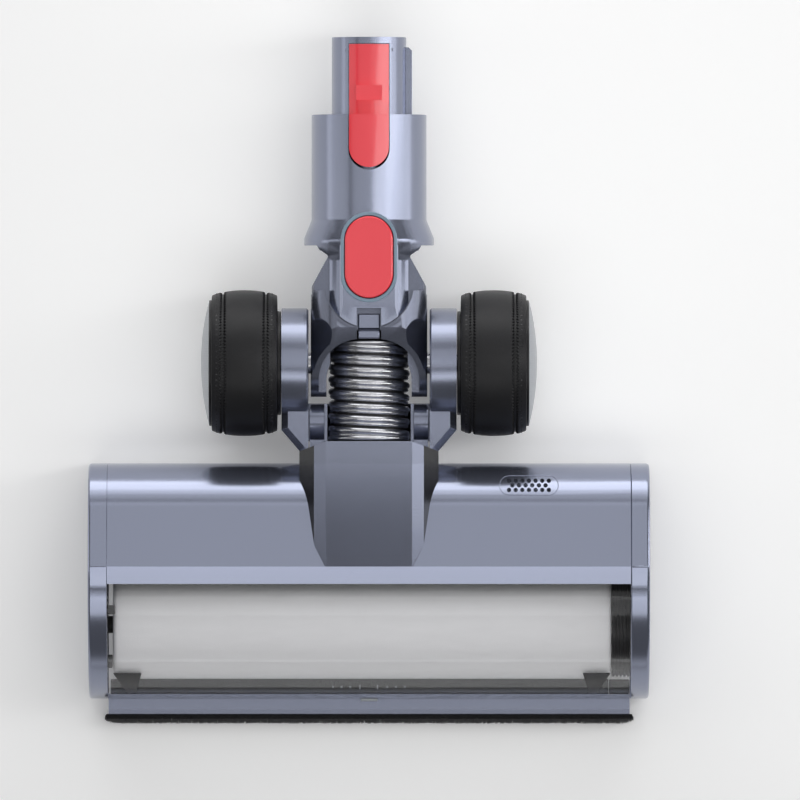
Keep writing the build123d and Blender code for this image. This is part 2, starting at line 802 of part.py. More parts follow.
def neck_body():
    shell = lathe_y([(0, flange_y), (flange_radius, flange_y), (flange_radius, cone_y),
                     (collar_radius, collar_y), (0, collar_y)], axle_z)
    tube = lathe_y([(0, steer_y - lobe_radius), (collar_radius, steer_y - lobe_radius),
                    (collar_radius, flange_y - waist_depth),
                    ((collar_radius + 2 * flange_radius) / 3, flange_y - waist_depth / 3),
                    (flange_radius, flange_y), (0, flange_y)], axle_z)
    high = axle_z + ear_bottom
    ear = lobe_plan(high, axle_z + flange_radius) & tube
    pad_top = axle_z + pad_height
    pad_front = steer_y - lobe_radius
    section = [(pad_half_width, high), (pad_half_width, pad_top - pad_chamfer),
               (pad_half_width - pad_chamfer, pad_top)]
    section += [(-x, z) for x, z in section[::-1]]
    long_pad = Pos(0, flange_y, 0) * extrude(Plane.XZ * make_face(Polyline(*section, close=True)),
                                             flange_y - pad_front)
    pad = long_pad & block(-pad_half_width, pad_half_width, pad_front, button_y, high, pad_top)
    pad &= lobe_plan(high, pad_top)
    slope = [(pad_front - cut_over, axle_z + ear_bottom + ear_slope_low),
             (pad_front - cut_over, pad_top + cut_over),
             (pad_front + ear_slope_length, pad_top + cut_over), (pad_front + ear_slope_length, pad_top)]
    pad += stadium(bezel_outer, button_straight, button_y, high, pad_top) & block(
        -flange_radius, flange_radius, flange_y - cut_over, tip_y, high, pad_top)
    pad += long_pad & block(-pad_half_width, pad_half_width, button_y, flange_y, high, pad_top)
    top = ear + pad
    low_ear = lobe_plan(axle_z - flange_radius, axle_z - ear_bottom) & tube
    body = shell + top + low_ear
    body -= prism_x(slope, -flange_radius, flange_radius)
    body -= cyl_z(concave_radius, axle_z - ear_bottom, axle_z + ear_bottom, 0, steer_y)
    body -= cyl_y(spigot_radius, gaiter_seat_y, tip_y, 0, axle_z)
    body -= cyl_y(gaiter_radius, steer_y, gaiter_seat_y, 0, axle_z)
    body -= cyl_y(collar_radius, collar_y, tip_y, 0, axle_z)
    half_notch = lobe_notch_width / 2
    body -= block(-half_notch, half_notch, pad_front, pad_front + lobe_notch_depth, axle_z, pad_top)
    pocket_top = block_top + pad_height
    body -= stadium(bezel_inner + bezel_lining, button_straight, button_y, pocket_floor, pocket_top)
    body -= cyl_z(steer_pin_radius, 0, pocket_floor, 0, steer_y)
    return body


def steer_pins():
    inner = axle_z + plate_half_height - plate_thickness
    top = cyl_z(steer_pin_radius, inner + body_clearance, pocket_floor, 0, steer_y)
    bottom = cyl_z(steer_pin_radius, axle_z - flange_radius + pin_recess,
                   2 * axle_z - inner - body_clearance, 0, steer_y)
    return top + bottom


def bezel():
    low = axle_z + pad_height
    ring = stadium(bezel_outer, button_straight, button_y, low, low + bezel_height)
    ring += stadium(bezel_inner + bezel_lining, button_straight, button_y, low - bezel_skirt, low)
    return ring - stadium(bezel_inner, button_straight, button_y, 0, 2 * low)


def oval_button():
    top = axle_z + pad_height + button_proud
    body = stadium(button_radius, button_straight, button_y, top - button_thickness, top)
    edge = body.edges().filter_by(Plane.XY).group_by(Axis.Z)[-1]
    return fillet(edge, button_proud / 2)


def spring_ring(x, y, low, high):
    return cyl_z(spring_radius, low, high, x, y) - cyl_z(spring_radius - spring_wire, low, high, x, y)


def button_spring():
    high = axle_z + pad_height + button_proud - button_thickness
    return spring_ring(0, button_y, pocket_floor, high)


def latch_slot(inset):
    # the opening over the release lever, grown by the gaps around it
    half = latch_half_width + inset
    top = axle_z + collar_radius + bezel_width
    end_y = spigot_y - latch_reach + latch_half_width
    slot = cyl_z(half, latch_floor, top, 0, end_y - (latch_end_gap if inset > 0 else 0))
    return slot + block(-half, half, end_y - (latch_end_gap if inset > 0 else 0), spigot_y, latch_floor, top)


def collar_sleeve():
    inner = collar_radius - collar_wall
    points = [(spigot_radius, spigot_y - collar_wall), (inner, spigot_y - collar_wall), (inner, collar_y),
              (collar_radius, collar_y), (collar_radius, spigot_y), (spigot_radius, spigot_y)]
    sleeve = lathe_y(points, axle_z)
    sleeve -= latch_slot(latch_gap) & block(-collar_radius, collar_radius, collar_y, tip_y,
                                            axle_z, block_top + collar_radius)
    sleeve -= stadium(bezel_inner + bezel_lining, button_straight, button_y, pocket_floor, 2 * block_top)
    return sleeve


def spigot_tube():
    bore = spigot_radius - spigot_wall
    tube = cyl_y(spigot_radius, gaiter_seat_y, tip_y, 0, axle_z)
    tube -= cyl_y(bore, gaiter_seat_y, tip_y, 0, axle_z)
    back = tip_y - latch_tip + latch_gap
    front = spigot_y - 2 * latch_plate
    under = block(-spigot_radius, spigot_radius, front - latch_floor_wall, tip_y,
                  latch_floor - latch_floor_wall, latch_floor)
    under += block(-spigot_radius, spigot_radius, front - latch_floor_wall, front,
                   latch_floor, axle_z + spigot_radius)
    under += block(-spigot_radius, spigot_radius, back, tip_y, latch_floor, axle_z + spigot_radius)
    tube += under & cyl_y(bore + spigot_wall / 2, front - latch_floor_wall, tip_y, 0, axle_z)
    half = latch_half_width + latch_gap
    tube -= block(-half, half, front, back, latch_floor, axle_z + spigot_radius + latch_gap)
    return tube - cyl_x(latch_pin_radius, -latch_pin_half, latch_pin_half, latch_pin_y, latch_pin_z)


def release_lever():
    back = tip_y - latch_tip
    riser = spigot_y - latch_plate
    half = latch_half_width
    outer = cyl_y(spigot_radius, riser, back, 0, axle_z)
    outer -= cyl_y(spigot_radius - latch_thickness, riser, back, 0, axle_z)
    lever = outer & block(-half, half, riser, back, axle_z, axle_z + spigot_radius)
    lever = lever & block(-half, half, riser, back, latch_pin_z, axle_z + spigot_radius)
    lug = block(-half, half, latch_pin_y - latch_thickness, back, latch_pin_z - latch_thickness / 2,
                axle_z + spigot_radius - latch_thickness)
    lever += lug & cyl_y(spigot_radius, riser, back, 0, axle_z)
    tooth_y = tip_y - latch_tooth_back
    tooth = block(-latch_tooth_width / 2, latch_tooth_width / 2, tooth_y - latch_tooth_length, tooth_y,
                  axle_z + spigot_radius - latch_thickness, axle_z + spigot_radius + latch_tooth_height)
    lever += tooth
    cap = latch_slot(0) & (cyl_y(collar_radius, collar_y, spigot_y, 0, axle_z)
                           - cyl_y(collar_radius - latch_plate, collar_y, spigot_y, 0, axle_z))
    cap &= block(-half, half, collar_y, spigot_y, axle_z + spigot_radius, block_top + collar_radius)
    wall = block(-half, half, riser, spigot_y, axle_z + spigot_radius - latch_thickness,
                 axle_z + collar_radius) & cyl_y(collar_radius, riser, spigot_y, 0, axle_z)
    lever += cap + wall
    return lever - cyl_x(latch_pin_radius + running_clearance, -half, half, latch_pin_y, latch_pin_z)


def latch_pin():
    return cyl_x(latch_pin_radius, -latch_pin_half, latch_pin_half, latch_pin_y, latch_pin_z)


def latch_spring():
    y = spigot_y - latch_reach + latch_half_width
    top = axle_z + math.sqrt((collar_radius - latch_plate) ** 2 - spring_radius ** 2)
    return spring_ring(0, y, axle_z + spigot_radius, top)


def plug_housing():
    inner = spigot_radius - plug_embed
    body = block(inner, inner + plug_thickness, spigot_y, spigot_y + plug_length,
                 axle_z - plug_height / 2, axle_z + plug_height / 2)
    edge = body.edges().filter_by(Axis.Z).sort_by(Axis.Y)[-2:].sort_by(Axis.X)[-1]
    body = chamfer(edge, plug_thickness / 2)
    body -= cyl_y(spigot_radius, spigot_y, tip_y, 0, axle_z)
    for z in (axle_z - contact_spacing / 2, axle_z + contact_spacing / 2):
        hole_x = spigot_radius + plug_thickness / 3
        body -= cyl_y(contact_radius, spigot_y + plug_length / 2, tip_y, hole_x, z)
    return body


def contact_pins():
    group = None
    for z in (axle_z - contact_spacing / 2, axle_z + contact_spacing / 2):
        pin = cyl_y(contact_radius, spigot_y + plug_length / 2, spigot_y + plug_length - plug_embed,
                    spigot_radius + plug_thickness / 3, z)
        group = pin if group is None else group + pin
    return group


def roller_tube(outer, inner):
    tube = cyl_x(outer, roller_left, roller_right, roller_y, roller_z)
    return tube - cyl_x(inner, roller_left, roller_right, roller_y, roller_z)


def core_bore():
    return roller_radius - pile_thickness - core_wall


def end_bung():
    stop = roller_left + dog_length
    bung = cyl_x(core_bore(), roller_left, stop, roller_y, roller_z)
    journal_end = -casing_half - bearing_width
    return bung + cyl_x(journal_radius, journal_end, roller_left, roller_y, roller_z)


def end_bearing():
    start = -casing_half - bearing_width
    ring = cyl_x(bearing_radius, start, -casing_half, roller_y, roller_z)
    return ring - cyl_x(journal_radius + running_clearance, start, -casing_half, roller_y, roller_z)


def motor_mount():
    start = roller_right + body_clearance
    disc = cyl_x(roller_radius - drive_hub_drop, start, casing_half, roller_y, roller_z)
    for step in range(drive_groove_count):
        x = start + (step + 1) * (casing_half - start) / (drive_groove_count + 1)
        groove = cyl_x(roller_radius, x - groove_width / 2, x + groove_width / 2, roller_y, roller_z)
        floor_radius = roller_radius - drive_hub_drop - groove_width
        groove -= cyl_x(floor_radius, x - groove_width, x + groove_width, roller_y, roller_z)
        disc -= groove
    return disc


def motor_can():
    stop = roller_right + body_clearance
    start = stop - motor_length
    can = cyl_x(motor_radius, start, stop, roller_y, roller_z)
    can -= cyl_x(motor_radius - motor_wall, start + motor_wall, stop - motor_wall, roller_y, roller_z)
    slot_start = start + 2 * motor_wall
    half = motor_slot_width / 2
    can -= block(slot_start, slot_start + motor_slot_length, roller_y - half, roller_y + half,
                 roller_z - motor_radius, roller_z + motor_radius)
    return can + cyl_x(rotor_radius, start, stop, roller_y, roller_z)


def gearbox():
    stop = roller_right + body_clearance - motor_length
    box = cyl_x(gearbox_radius, stop - gearbox_length, stop, roller_y, roller_z)
    hole = cyl_x(motor_shaft_radius + running_clearance, stop - gearbox_length,
                 stop - gearbox_length + dog_length, roller_y, roller_z)
    return box - hole


def support_bearing():
    stop = roller_right - bearing_width
    ring = cyl_x(core_bore() - running_clearance, stop - bearing_width, stop, roller_y, roller_z)
    return ring - cyl_x(motor_radius, stop - bearing_width, stop, roller_y, roller_z)


def output_shaft():
    box_end = roller_right + body_clearance - motor_length - gearbox_length
    return cyl_x(motor_shaft_radius, box_end - dog_length - body_clearance,
                 box_end + dog_length - body_clearance, roller_y, roller_z)


def drive_hub():
    stop = roller_right - motor_length - gearbox_length
    hub = cyl_x(core_bore(), stop - dog_length, stop, roller_y, roller_z)
    return hub - cyl_x(motor_shaft_radius, stop - dog_length, stop, roller_y, roller_z)


def end_cap(side):
    outer_x = head_width / 2
    cap = casing_solid(0, casing_half, outer_x)
    edges = cap.faces().sort_by(Axis.X)[-1].edges()
    cap = chamfer(edges, cap_edge)
    cap -= casing_solid(casing_wall, casing_half, outer_x - casing_wall)
    if side > 0:
        return cap
    cap = mirrored(cap)
    boss = cyl_x(bearing_radius + casing_wall, -outer_x + casing_wall, -casing_half, roller_y, roller_z)
    cap += boss
    cap -= cyl_x(bearing_radius, -casing_half - bearing_width, -casing_half, roller_y, roller_z)
    return cap - cyl_x(lock_radius + body_clearance, -outer_x, -outer_x + lock_depth, roller_y, roller_z)


def end_lock():
    # dial with a coin slot that holds the roller in, a quarter turn opens it
    outer_x = head_width / 2
    dial = cyl_x(lock_radius, -outer_x, -outer_x + lock_depth - running_clearance, roller_y, roller_z)
    half = lock_slot / 2
    return dial - block(-outer_x, -outer_x + lock_depth / 2, roller_y - lock_radius * 0.8,
                        roller_y + lock_radius * 0.8, roller_z - half, roller_z + half)


def control_board():
    low = base_top + standoff_height
    y = (rear_y - casing_wall + chamber_back_y) / 2
    board = block(board_x - board_length / 2, board_x + board_length / 2, y - board_width / 2,
                  y + board_width / 2, low, low + board_thickness)
    for step in range(3):
        x = board_x + (step - 1) * board_length / 4
        half = board_width / 4 - step
        board += block(x - half, x + half, y - half, y + half, low + board_thickness,
                       low + board_thickness + half)
    return board


def board_standoffs():
    y = (rear_y - casing_wall + chamber_back_y) / 2
    group = None
    for x_way in (-1, 1):
        for y_way in (-1, 1):
            x = board_x + x_way * (board_length / 2 - 2 * screw_radius)
            post = cyl_z(screw_radius, base_top, base_top + standoff_height, x,
                         y + y_way * (board_width / 2 - 2 * screw_radius))
            group = post if group is None else group + post
    return group


def build_head():
    ring = casing_ring()
    casing = casing_solid(0, -casing_half, casing_half)
    save(top_cover(ring), "top_cover")
    save(vent_grille(ring), "vent_grille")
    save(clear_window(ring), "clear_window")
    save(front_bumper(ring), "front_bumper")
    save(bristle_strip(), "front_bristle_strip")
    save(comb_strip(), "window_inner_rail")
    save(base_plate() + board_standoffs(), "base_plate")
    save(base_screws(), "base_screws")
    save(felt_strip(), "rear_felt_strip")
    save(chamber_wall(), "roller_chamber_wall")
    save(inlet_duct(), "inlet_duct")
    save(inlet_block(casing), "inlet_block")
    save(carrier_frame(), "wheel_carrier")
    save(head_cuff(), "hose_front_cuff")
    save(end_cap(-1), "end_cap_left")
    save(end_cap(1), "end_cap_right")
    save(end_bearing(), "roller_end_bearing")
    save(motor_mount(), "motor_mount_ring")
    save(motor_can(), "motor_can")
    save(gearbox(), "gearbox")
    save(support_bearing(), "roller_support_bearing")
    save(control_board(), "control_board")
    save(end_lock(), "end_lock_dial")


def build_roller():
    core_outer = roller_radius - pile_thickness
    save(roller_tube(core_outer, core_bore()), "roller_core")
    save(roller_tube(roller_radius, core_outer), "roller_sleeve")
    save(end_bung(), "roller_end_bung")
    save(drive_hub(), "roller_drive_hub")
    save(output_shaft(), "gearbox_output_shaft")


def build_wheels():
    save(axle_clip(-1) + axle_clip(1), "axle_clips")
    for side, name in ((-1, "left"), (1, "right")):
        save(tyre(side), "tyre_" + name)
        save(wheel_rim(side), "wheel_rim_" + name)
        save(wheel_bush(side), "wheel_bush_" + name)
        save(wheel_shield(side), "wheel_shield_" + name)
        save(hub_ring(side), "hub_ring_" + name)
        save(hub_cap(side), "hub_cap_" + name)
        save(axle(side), "axle_" + name)


def build_yoke():
    save(coil_hose(), "coil_hose")
    save(yoke_cuff(), "hose_rear_cuff")
    save(yoke_body(), "yoke_body")
    save(steering_tongue(), "steering_tongue")


def build_neck():
    save(gaiter(), "swivel_gaiter")
    save(neck_body(), "neck_body")
    save(steer_pins(), "steering_pins")
    save(collar_sleeve(), "collar_sleeve")
    save(spigot_tube(), "spigot_tube")
    save(bezel(), "button_bezel")
    save(oval_button(), "oval_button")
    save(button_spring(), "button_spring")
    save(release_lever(), "release_lever")
    save(latch_pin(), "latch_pin")
    save(latch_spring(), "latch_spring")
    save(plug_housing(), "plug_housing")
    save(contact_pins(), "contact_pins")


build_head()
build_roller()
build_wheels()
build_yoke()
build_neck()
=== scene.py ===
import bpy
import bmesh
import json
import math
import random
from mathutils import Matrix, Vector

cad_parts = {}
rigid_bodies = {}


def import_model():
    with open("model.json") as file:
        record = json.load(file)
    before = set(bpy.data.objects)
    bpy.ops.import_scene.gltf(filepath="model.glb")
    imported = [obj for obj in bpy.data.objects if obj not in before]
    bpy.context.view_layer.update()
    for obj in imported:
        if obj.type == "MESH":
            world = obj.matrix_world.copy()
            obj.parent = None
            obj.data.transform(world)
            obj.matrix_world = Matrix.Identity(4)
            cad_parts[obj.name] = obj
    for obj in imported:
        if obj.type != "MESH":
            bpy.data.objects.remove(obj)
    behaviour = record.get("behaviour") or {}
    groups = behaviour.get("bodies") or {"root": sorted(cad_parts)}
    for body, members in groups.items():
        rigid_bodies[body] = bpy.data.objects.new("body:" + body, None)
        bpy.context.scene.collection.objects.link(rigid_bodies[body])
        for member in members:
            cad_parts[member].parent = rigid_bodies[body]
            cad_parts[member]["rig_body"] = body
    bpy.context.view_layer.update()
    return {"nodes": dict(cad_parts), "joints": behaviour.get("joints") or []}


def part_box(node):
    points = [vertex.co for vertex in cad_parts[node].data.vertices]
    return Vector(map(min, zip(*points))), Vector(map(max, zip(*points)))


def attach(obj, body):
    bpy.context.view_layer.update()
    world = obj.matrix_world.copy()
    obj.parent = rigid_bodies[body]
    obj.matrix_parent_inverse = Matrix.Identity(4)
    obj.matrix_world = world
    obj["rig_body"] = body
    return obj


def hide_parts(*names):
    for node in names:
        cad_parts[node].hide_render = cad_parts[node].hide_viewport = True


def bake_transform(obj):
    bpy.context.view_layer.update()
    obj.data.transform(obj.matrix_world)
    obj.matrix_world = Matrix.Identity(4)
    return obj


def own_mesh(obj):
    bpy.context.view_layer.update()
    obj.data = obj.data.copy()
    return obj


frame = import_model()
nodes = frame["nodes"]
joints = {joint["name"]: joint for joint in frame["joints"]}
axleY, axleZ = joints["neck_pitch"]["pos_m"][1:]
rollerY, rollerZ = joints["roller_spin"]["pos_m"][1:]
mm = 0.001
# corners closer than this are one corner, and faces flatter than this are one face
weldGap = 0.002 * mm
solidWeldGap = 0.004 * mm
flatAngle = 0.6
# edge of the small parts
fineBevel = 0.3 * mm
# depth of the fine grain of a surface
grainDepth = 0.2 * mm
print("frame loaded")


def newMaterial(name):
    mat = bpy.data.materials.new(name)
    mat.use_nodes = True
    tree = mat.node_tree
    return mat, tree, tree.nodes["Principled BSDF"]


def objectCoords(tree, scale=(1, 1, 1), turn=(0, 0, 0)):
    coord = tree.nodes.new("ShaderNodeTexCoord")
    mapping = tree.nodes.new("ShaderNodeMapping")
    mapping.inputs["Scale"].default_value = scale
    mapping.inputs["Rotation"].default_value = turn
    tree.links.new(coord.outputs["Object"], mapping.inputs["Vector"])
    return mapping.outputs["Vector"]


def noiseTexture(tree, vector, scale, detail=3.0):
    noise = tree.nodes.new("ShaderNodeTexNoise")
    noise.inputs["Scale"].default_value = scale
    noise.inputs["Detail"].default_value = detail
    tree.links.new(vector, noise.inputs["Vector"])
    return noise.outputs["Fac"]


def rangeOf(tree, source, low, high):
    spread = tree.nodes.new("ShaderNodeMapRange")
    spread.inputs["To Min"].default_value = low
    spread.inputs["To Max"].default_value = high
    tree.links.new(source, spread.inputs["Value"])
    return spread.outputs["Result"]


def mixColour(tree, source, dark, light):
    mix = tree.nodes.new("ShaderNodeMix")
    mix.data_type = "RGBA"
    mix.inputs["A"].default_value = (*dark, 1)
    mix.inputs["B"].default_value = (*light, 1)
    tree.links.new(source, mix.inputs["Factor"])
    return mix.outputs["Result"]


def addBump(tree, bsdf, height, strength, distance):
    bump = tree.nodes.new("ShaderNodeBump")
    bump.inputs["Strength"].default_value = strength
    bump.inputs["Distance"].default_value = distance
    tree.links.new(height, bump.inputs["Height"])
    tree.links.new(bump.outputs["Normal"], bsdf.inputs["Normal"])


def shade(name, dark, light, rough, grain, metal=0.0, coat=0.0, bump=0.0, bumpScale=900.0, gleam=0.5):
    # moulded or painted surface: slight colour drift, uneven roughness, fine grain
    mat, tree, bsdf = newMaterial(name)
    vector = objectCoords(tree)
    drift = noiseTexture(tree, vector, grain)
    tree.links.new(mixColour(tree, drift, dark, light), bsdf.inputs["Base Color"])
    wear = rangeOf(tree, noiseTexture(tree, vector, grain * 3), rough[0], rough[1])
    tree.links.new(wear, bsdf.inputs["Roughness"])
    bsdf.inputs["Metallic"].default_value = metal
    bsdf.inputs["Specular IOR Level"].default_value = gleam
    bsdf.inputs["Coat Weight"].default_value = coat
    bsdf.inputs["Coat Roughness"].default_value = 0.04
    if bump:
        addBump(tree, bsdf, noiseTexture(tree, vector, bumpScale, 4.0), bump, grainDepth)
    return mat


def finishMesh(name, bm, body, slot, mat, *replaced, smooth=40.0):
    # writes the bmesh into an object at the origin that rides on a body
    bmesh.ops.remove_doubles(bm, verts=bm.verts, dist=weldGap)
    bmesh.ops.recalc_face_normals(bm, faces=bm.faces)
    mesh = bpy.data.meshes.new(name)
    limit = math.radians(smooth)
    for face in bm.faces:
        face.smooth = True
    for edge in bm.edges:
        edge.smooth = len(edge.link_faces) == 2 and edge.calc_face_angle(0) < limit
    bm.to_mesh(mesh)
    bm.free()
    return placeMesh(name, mesh, body, slot, mat, *replaced)


def placeMesh(name, mesh, body, slot, mat, *replaced):
    mesh.materials.append(mat)
    piece = bpy.data.objects.new(name, mesh)
    bpy.context.scene.collection.objects.link(piece)
    if replaced:
        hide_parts(*replaced)
    if body:
        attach(piece, body)
    return piece


def copyNode(node):
    # a welded copy of a solid of the frame, with its flat faces joined up
    bm = bmesh.new()
    bm.from_mesh(nodes[node].data)
    bmesh.ops.remove_doubles(bm, verts=bm.verts, dist=solidWeldGap)
    bmesh.ops.dissolve_limit(bm, angle_limit=math.radians(flatAngle), verts=bm.verts, edges=bm.edges)
    return bm


def bevelEdges(piece, width, angle=32.0):
    bevel = piece.modifiers.new("edges", "BEVEL")
    bevel.width = width
    bevel.segments = 2
    bevel.limit_method = "ANGLE"
    bevel.angle_limit = math.radians(angle)
    bevel.harden_normals = True
    bevel.miter_outer = "MITER_ARC"
    weighted = piece.modifiers.new("normals", "WEIGHTED_NORMAL")
    weighted.keep_sharp = True
    return piece


# how sharply, in degrees, two faces must meet to count as an edge, and the solids with an angle of their own
usualCrease = 24.0
ownCrease = {"inlet_block": 22.5, "wheel_carrier": 22.5, "top_cover": 22.5, "end_cap_left": 22.5,
             "end_cap_right": 22.5, "front_bumper": 16.0, "neck_body": 38.0}


def dressNode(node, slot, mat, width):
    # the moulded form of a solid with its edges broken, but for those where two mouldings meet flush
    angle = ownCrease.get(node, usualCrease)
    bm = copyNode(node)
    weights = bm.edges.layers.float.new("bevel_weight_edge")
    mesh = bpy.data.meshes.new(node + "_moulded")
    for face in bm.faces:
        face.smooth = True
    for edge in bm.edges:
        sharp = len(edge.link_faces) != 2 or edge.calc_face_angle(0) > math.radians(angle)
        flush = node in flushNodes and all(abs(corner.co.y - flushY) < flushGap for corner in edge.verts)
        edge.smooth = not sharp
        edge[weights] = 1.0 if sharp and not flush else 0.0
    bm.to_mesh(mesh)
    bm.free()
    piece = placeMesh(node + "_moulded", mesh, nodes[node]["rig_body"], slot, mat, node)
    bevelEdges(piece, width, angle).modifiers["edges"].limit_method = "WEIGHT"
    return piece


# the carrier and the inlet block are one form from outside, so their joint stays closed
flushNodes = ("wheel_carrier", "inlet_block")
flushY = -37.71 * mm
flushGap = 0.05 * mm
# their steep sides get painted shade: the gunmetal there takes a black gloss finish, chosen by how steep the
# faces are
paintedShadeSides = {"across": 0.8, "lowest": 40 * mm, "rear": -27.6 * mm}


def paintShadeOnSides(piece, mat):
    # painted shade: steep faces of the gunmetal moulding get the black gloss finish
    piece.data.materials.append(mat)
    for face in piece.data.polygons:
        if abs(face.normal.x) > paintedShadeSides["across"] and face.center.z > paintedShadeSides["lowest"]:
            if face.center.y < paintedShadeSides["rear"]:
                face.material_index = 1


def paintNode(node, mat):
    # keeps the solid itself and gives it its finish
    data = nodes[node].data
    data.materials.clear()
    data.materials.append(mat)


def turned(points, centre, axis, steps):
    # spins a closed chain of (along, radius) points about an axis through centre
    bm = bmesh.new()
    along = Vector(axis)
    out = Vector((0, 0, 1))
    ring = [bm.verts.new(Vector(centre) + along * a + out * r) for a, r in points]
    edges = [bm.edges.new(pair) for pair in zip(ring, ring[1:] + ring[:1])]
    bmesh.ops.spin(bm, geom=ring + edges, cent=centre, axis=along, angle=2 * math.pi, steps=steps,
                   use_merge=True, use_duplicate=False)
    return bm


# what each finish is called, its dark and light shade, and how it shines
finish = {
    "casing": {"name": "gunmetal casing", "dark": (0.25, 0.272, 0.358), "light": (0.268, 0.292, 0.382),
               "rough": (0.17, 0.22), "grain": 9, "metal": 0.85, "coat": 0.3, "bump": 0.04},
    "neck": {"name": "gunmetal neck", "dark": (0.228, 0.248, 0.325), "light": (0.25, 0.272, 0.355),
             "rough": (0.22, 0.28), "grain": 9, "metal": 0.85, "coat": 0.3, "bump": 0.04},
    # the neck gunmetal made darker for the yoke: painted shade
    "yoke": {"name": "gunmetal yoke with painted shade", "dark": (0.14, 0.153, 0.2), "light": (0.155, 0.168, 0.22),
             "rough": (0.22, 0.28), "grain": 9, "metal": 0.85, "coat": 0.3, "bump": 0.04},
    "black": {"name": "black moulding", "dark": (0.010, 0.010, 0.012), "light": (0.018, 0.018, 0.021),
              "rough": (0.35, 0.5), "grain": 40, "coat": 0.1, "bump": 0.25, "bumpScale": 1800,
              "gleam": 0.35},
    "rubber": {"name": "tyre rubber", "dark": (0.006, 0.006, 0.007), "light": (0.012, 0.012, 0.014),
               "rough": (0.38, 0.52), "grain": 60, "bump": 0.3, "bumpScale": 2600, "gleam": 0.3},
    "red": {"name": "red gloss", "dark": (0.80, 0.035, 0.055), "light": (0.87, 0.05, 0.07),
            "rough": (0.22, 0.28), "grain": 12, "coat": 0.5, "bump": 0.03},
    "bezel": {"name": "pale bezel", "dark": (0.165, 0.245, 0.32), "light": (0.19, 0.275, 0.355),
              "rough": (0.2, 0.26), "grain": 15, "metal": 0.2, "coat": 0.4},
    # black gloss that paints shade onto the steep gunmetal sides
    "side": {"name": "black gloss painted shade", "dark": (0.010, 0.010, 0.012), "light": (0.018, 0.018, 0.021),
             "rough": (0.12, 0.2), "grain": 20, "bump": 0.03, "gleam": 0.35},
    "dot": {"name": "tread dots", "dark": (0.010, 0.010, 0.012), "light": (0.018, 0.018, 0.021),
            "rough": (0.2, 0.3), "grain": 60},
    "hub": {"name": "silver hub", "dark": (0.32, 0.34, 0.37), "light": (0.38, 0.40, 0.43),
            "rough": (0.28, 0.34), "grain": 30, "metal": 0.7, "coat": 0.2, "bump": 0.05, "bumpScale": 3000},
    "steel": {"name": "bright steel", "dark": (0.55, 0.55, 0.57), "light": (0.68, 0.68, 0.70),
              "rough": (0.2, 0.3), "grain": 80, "metal": 1.0},
    "brass": {"name": "turned brass", "dark": (0.62, 0.45, 0.18), "light": (0.72, 0.55, 0.25),
              "rough": (0.25, 0.35), "grain": 80, "metal": 1.0},
    "coil": {"name": "dark coil", "dark": (0.46, 0.465, 0.49), "light": (0.60, 0.605, 0.63),
             "rough": (0.2, 0.28), "grain": 60, "metal": 1.0},
    "board": {"name": "circuit board", "dark": (0.01, 0.09, 0.04), "light": (0.02, 0.14, 0.07),
              "rough": (0.4, 0.5), "grain": 200},
    "felt": {"name": "black felt", "dark": (0.012, 0.012, 0.013), "light": (0.03, 0.03, 0.032),
             "rough": (0.9, 1.0), "grain": 700, "bump": 0.8, "bumpScale": 2500},
    "bristle": {"name": "black bristle", "dark": (0.002, 0.002, 0.003), "light": (0.04, 0.04, 0.043),
                "rough": (0.5, 0.7), "grain": 1100, "gleam": 0.15},
}


def makeFinishes():
    mats = {key: shade(**look) for key, look in finish.items()}
    mats["clear"] = clearFinish()
    mats["pile"] = pileFinish()
    mats["hubCap"] = hubCapFinish()
    return mats


clear = {"dark": (0.90, 0.91, 0.93), "light": (0.95, 0.96, 0.97), "rough": (0.04, 0.07), "bend": 1.45,
         # how much it shows straight on and at its edges
         "shows": (0.012, 0.14)}


def clearFinish():
    # thin clear moulding: lets most light through and mirrors more towards its edges
    c = clear
    mat, tree, bsdf = newMaterial("clear moulding")
    vector = objectCoords(tree)
    colour = mixColour(tree, noiseTexture(tree, vector, 20), c["dark"], c["light"])
    tree.links.new(colour, bsdf.inputs["Base Color"])
    wear = rangeOf(tree, noiseTexture(tree, vector, 30), c["rough"][0], c["rough"][1])
    tree.links.new(wear, bsdf.inputs["Roughness"])
    bsdf.inputs["Metallic"].default_value = 1.0
    edgeGloss = tree.nodes.new("ShaderNodeFresnel")
    edgeGloss.inputs["IOR"].default_value = c["bend"]
    shown = rangeOf(tree, edgeGloss.outputs["Fac"], c["shows"][0], c["shows"][1])
    tree.links.new(shown, bsdf.inputs["Alpha"])
    return mat


pile = {"dark": (0.90, 0.90, 0.92), "light": (0.96, 0.96, 0.98), "streaks": (60, 260, 260), "rough": 0.85,
        "sheen": 0.35, "nap": 2600, "napStrength": 0.35, "napDepth": 0.3 * mm}


def pileFinish():
    # short upright pile: bright and even, with a soft sheen
    p = pile
    mat, tree, bsdf = newMaterial("pale pile")
    vector = objectCoords(tree)
    streaks = noiseTexture(tree, objectCoords(tree, p["streaks"]), 1.0, 2.0)
    tree.links.new(mixColour(tree, streaks, p["dark"], p["light"]), bsdf.inputs["Base Color"])
    bsdf.inputs["Roughness"].default_value = p["rough"]
    bsdf.inputs["Sheen Weight"].default_value = p["sheen"]
    addBump(tree, bsdf, noiseTexture(tree, vector, p["nap"], 5.0), p["napStrength"], p["napDepth"])
    return mat


hubCap = {"mesh": 900, "uneven": 0.15, "metal": 0.7, "rough": 0.3, "dent": 0.4, "dentDepth": 0.3 * mm}


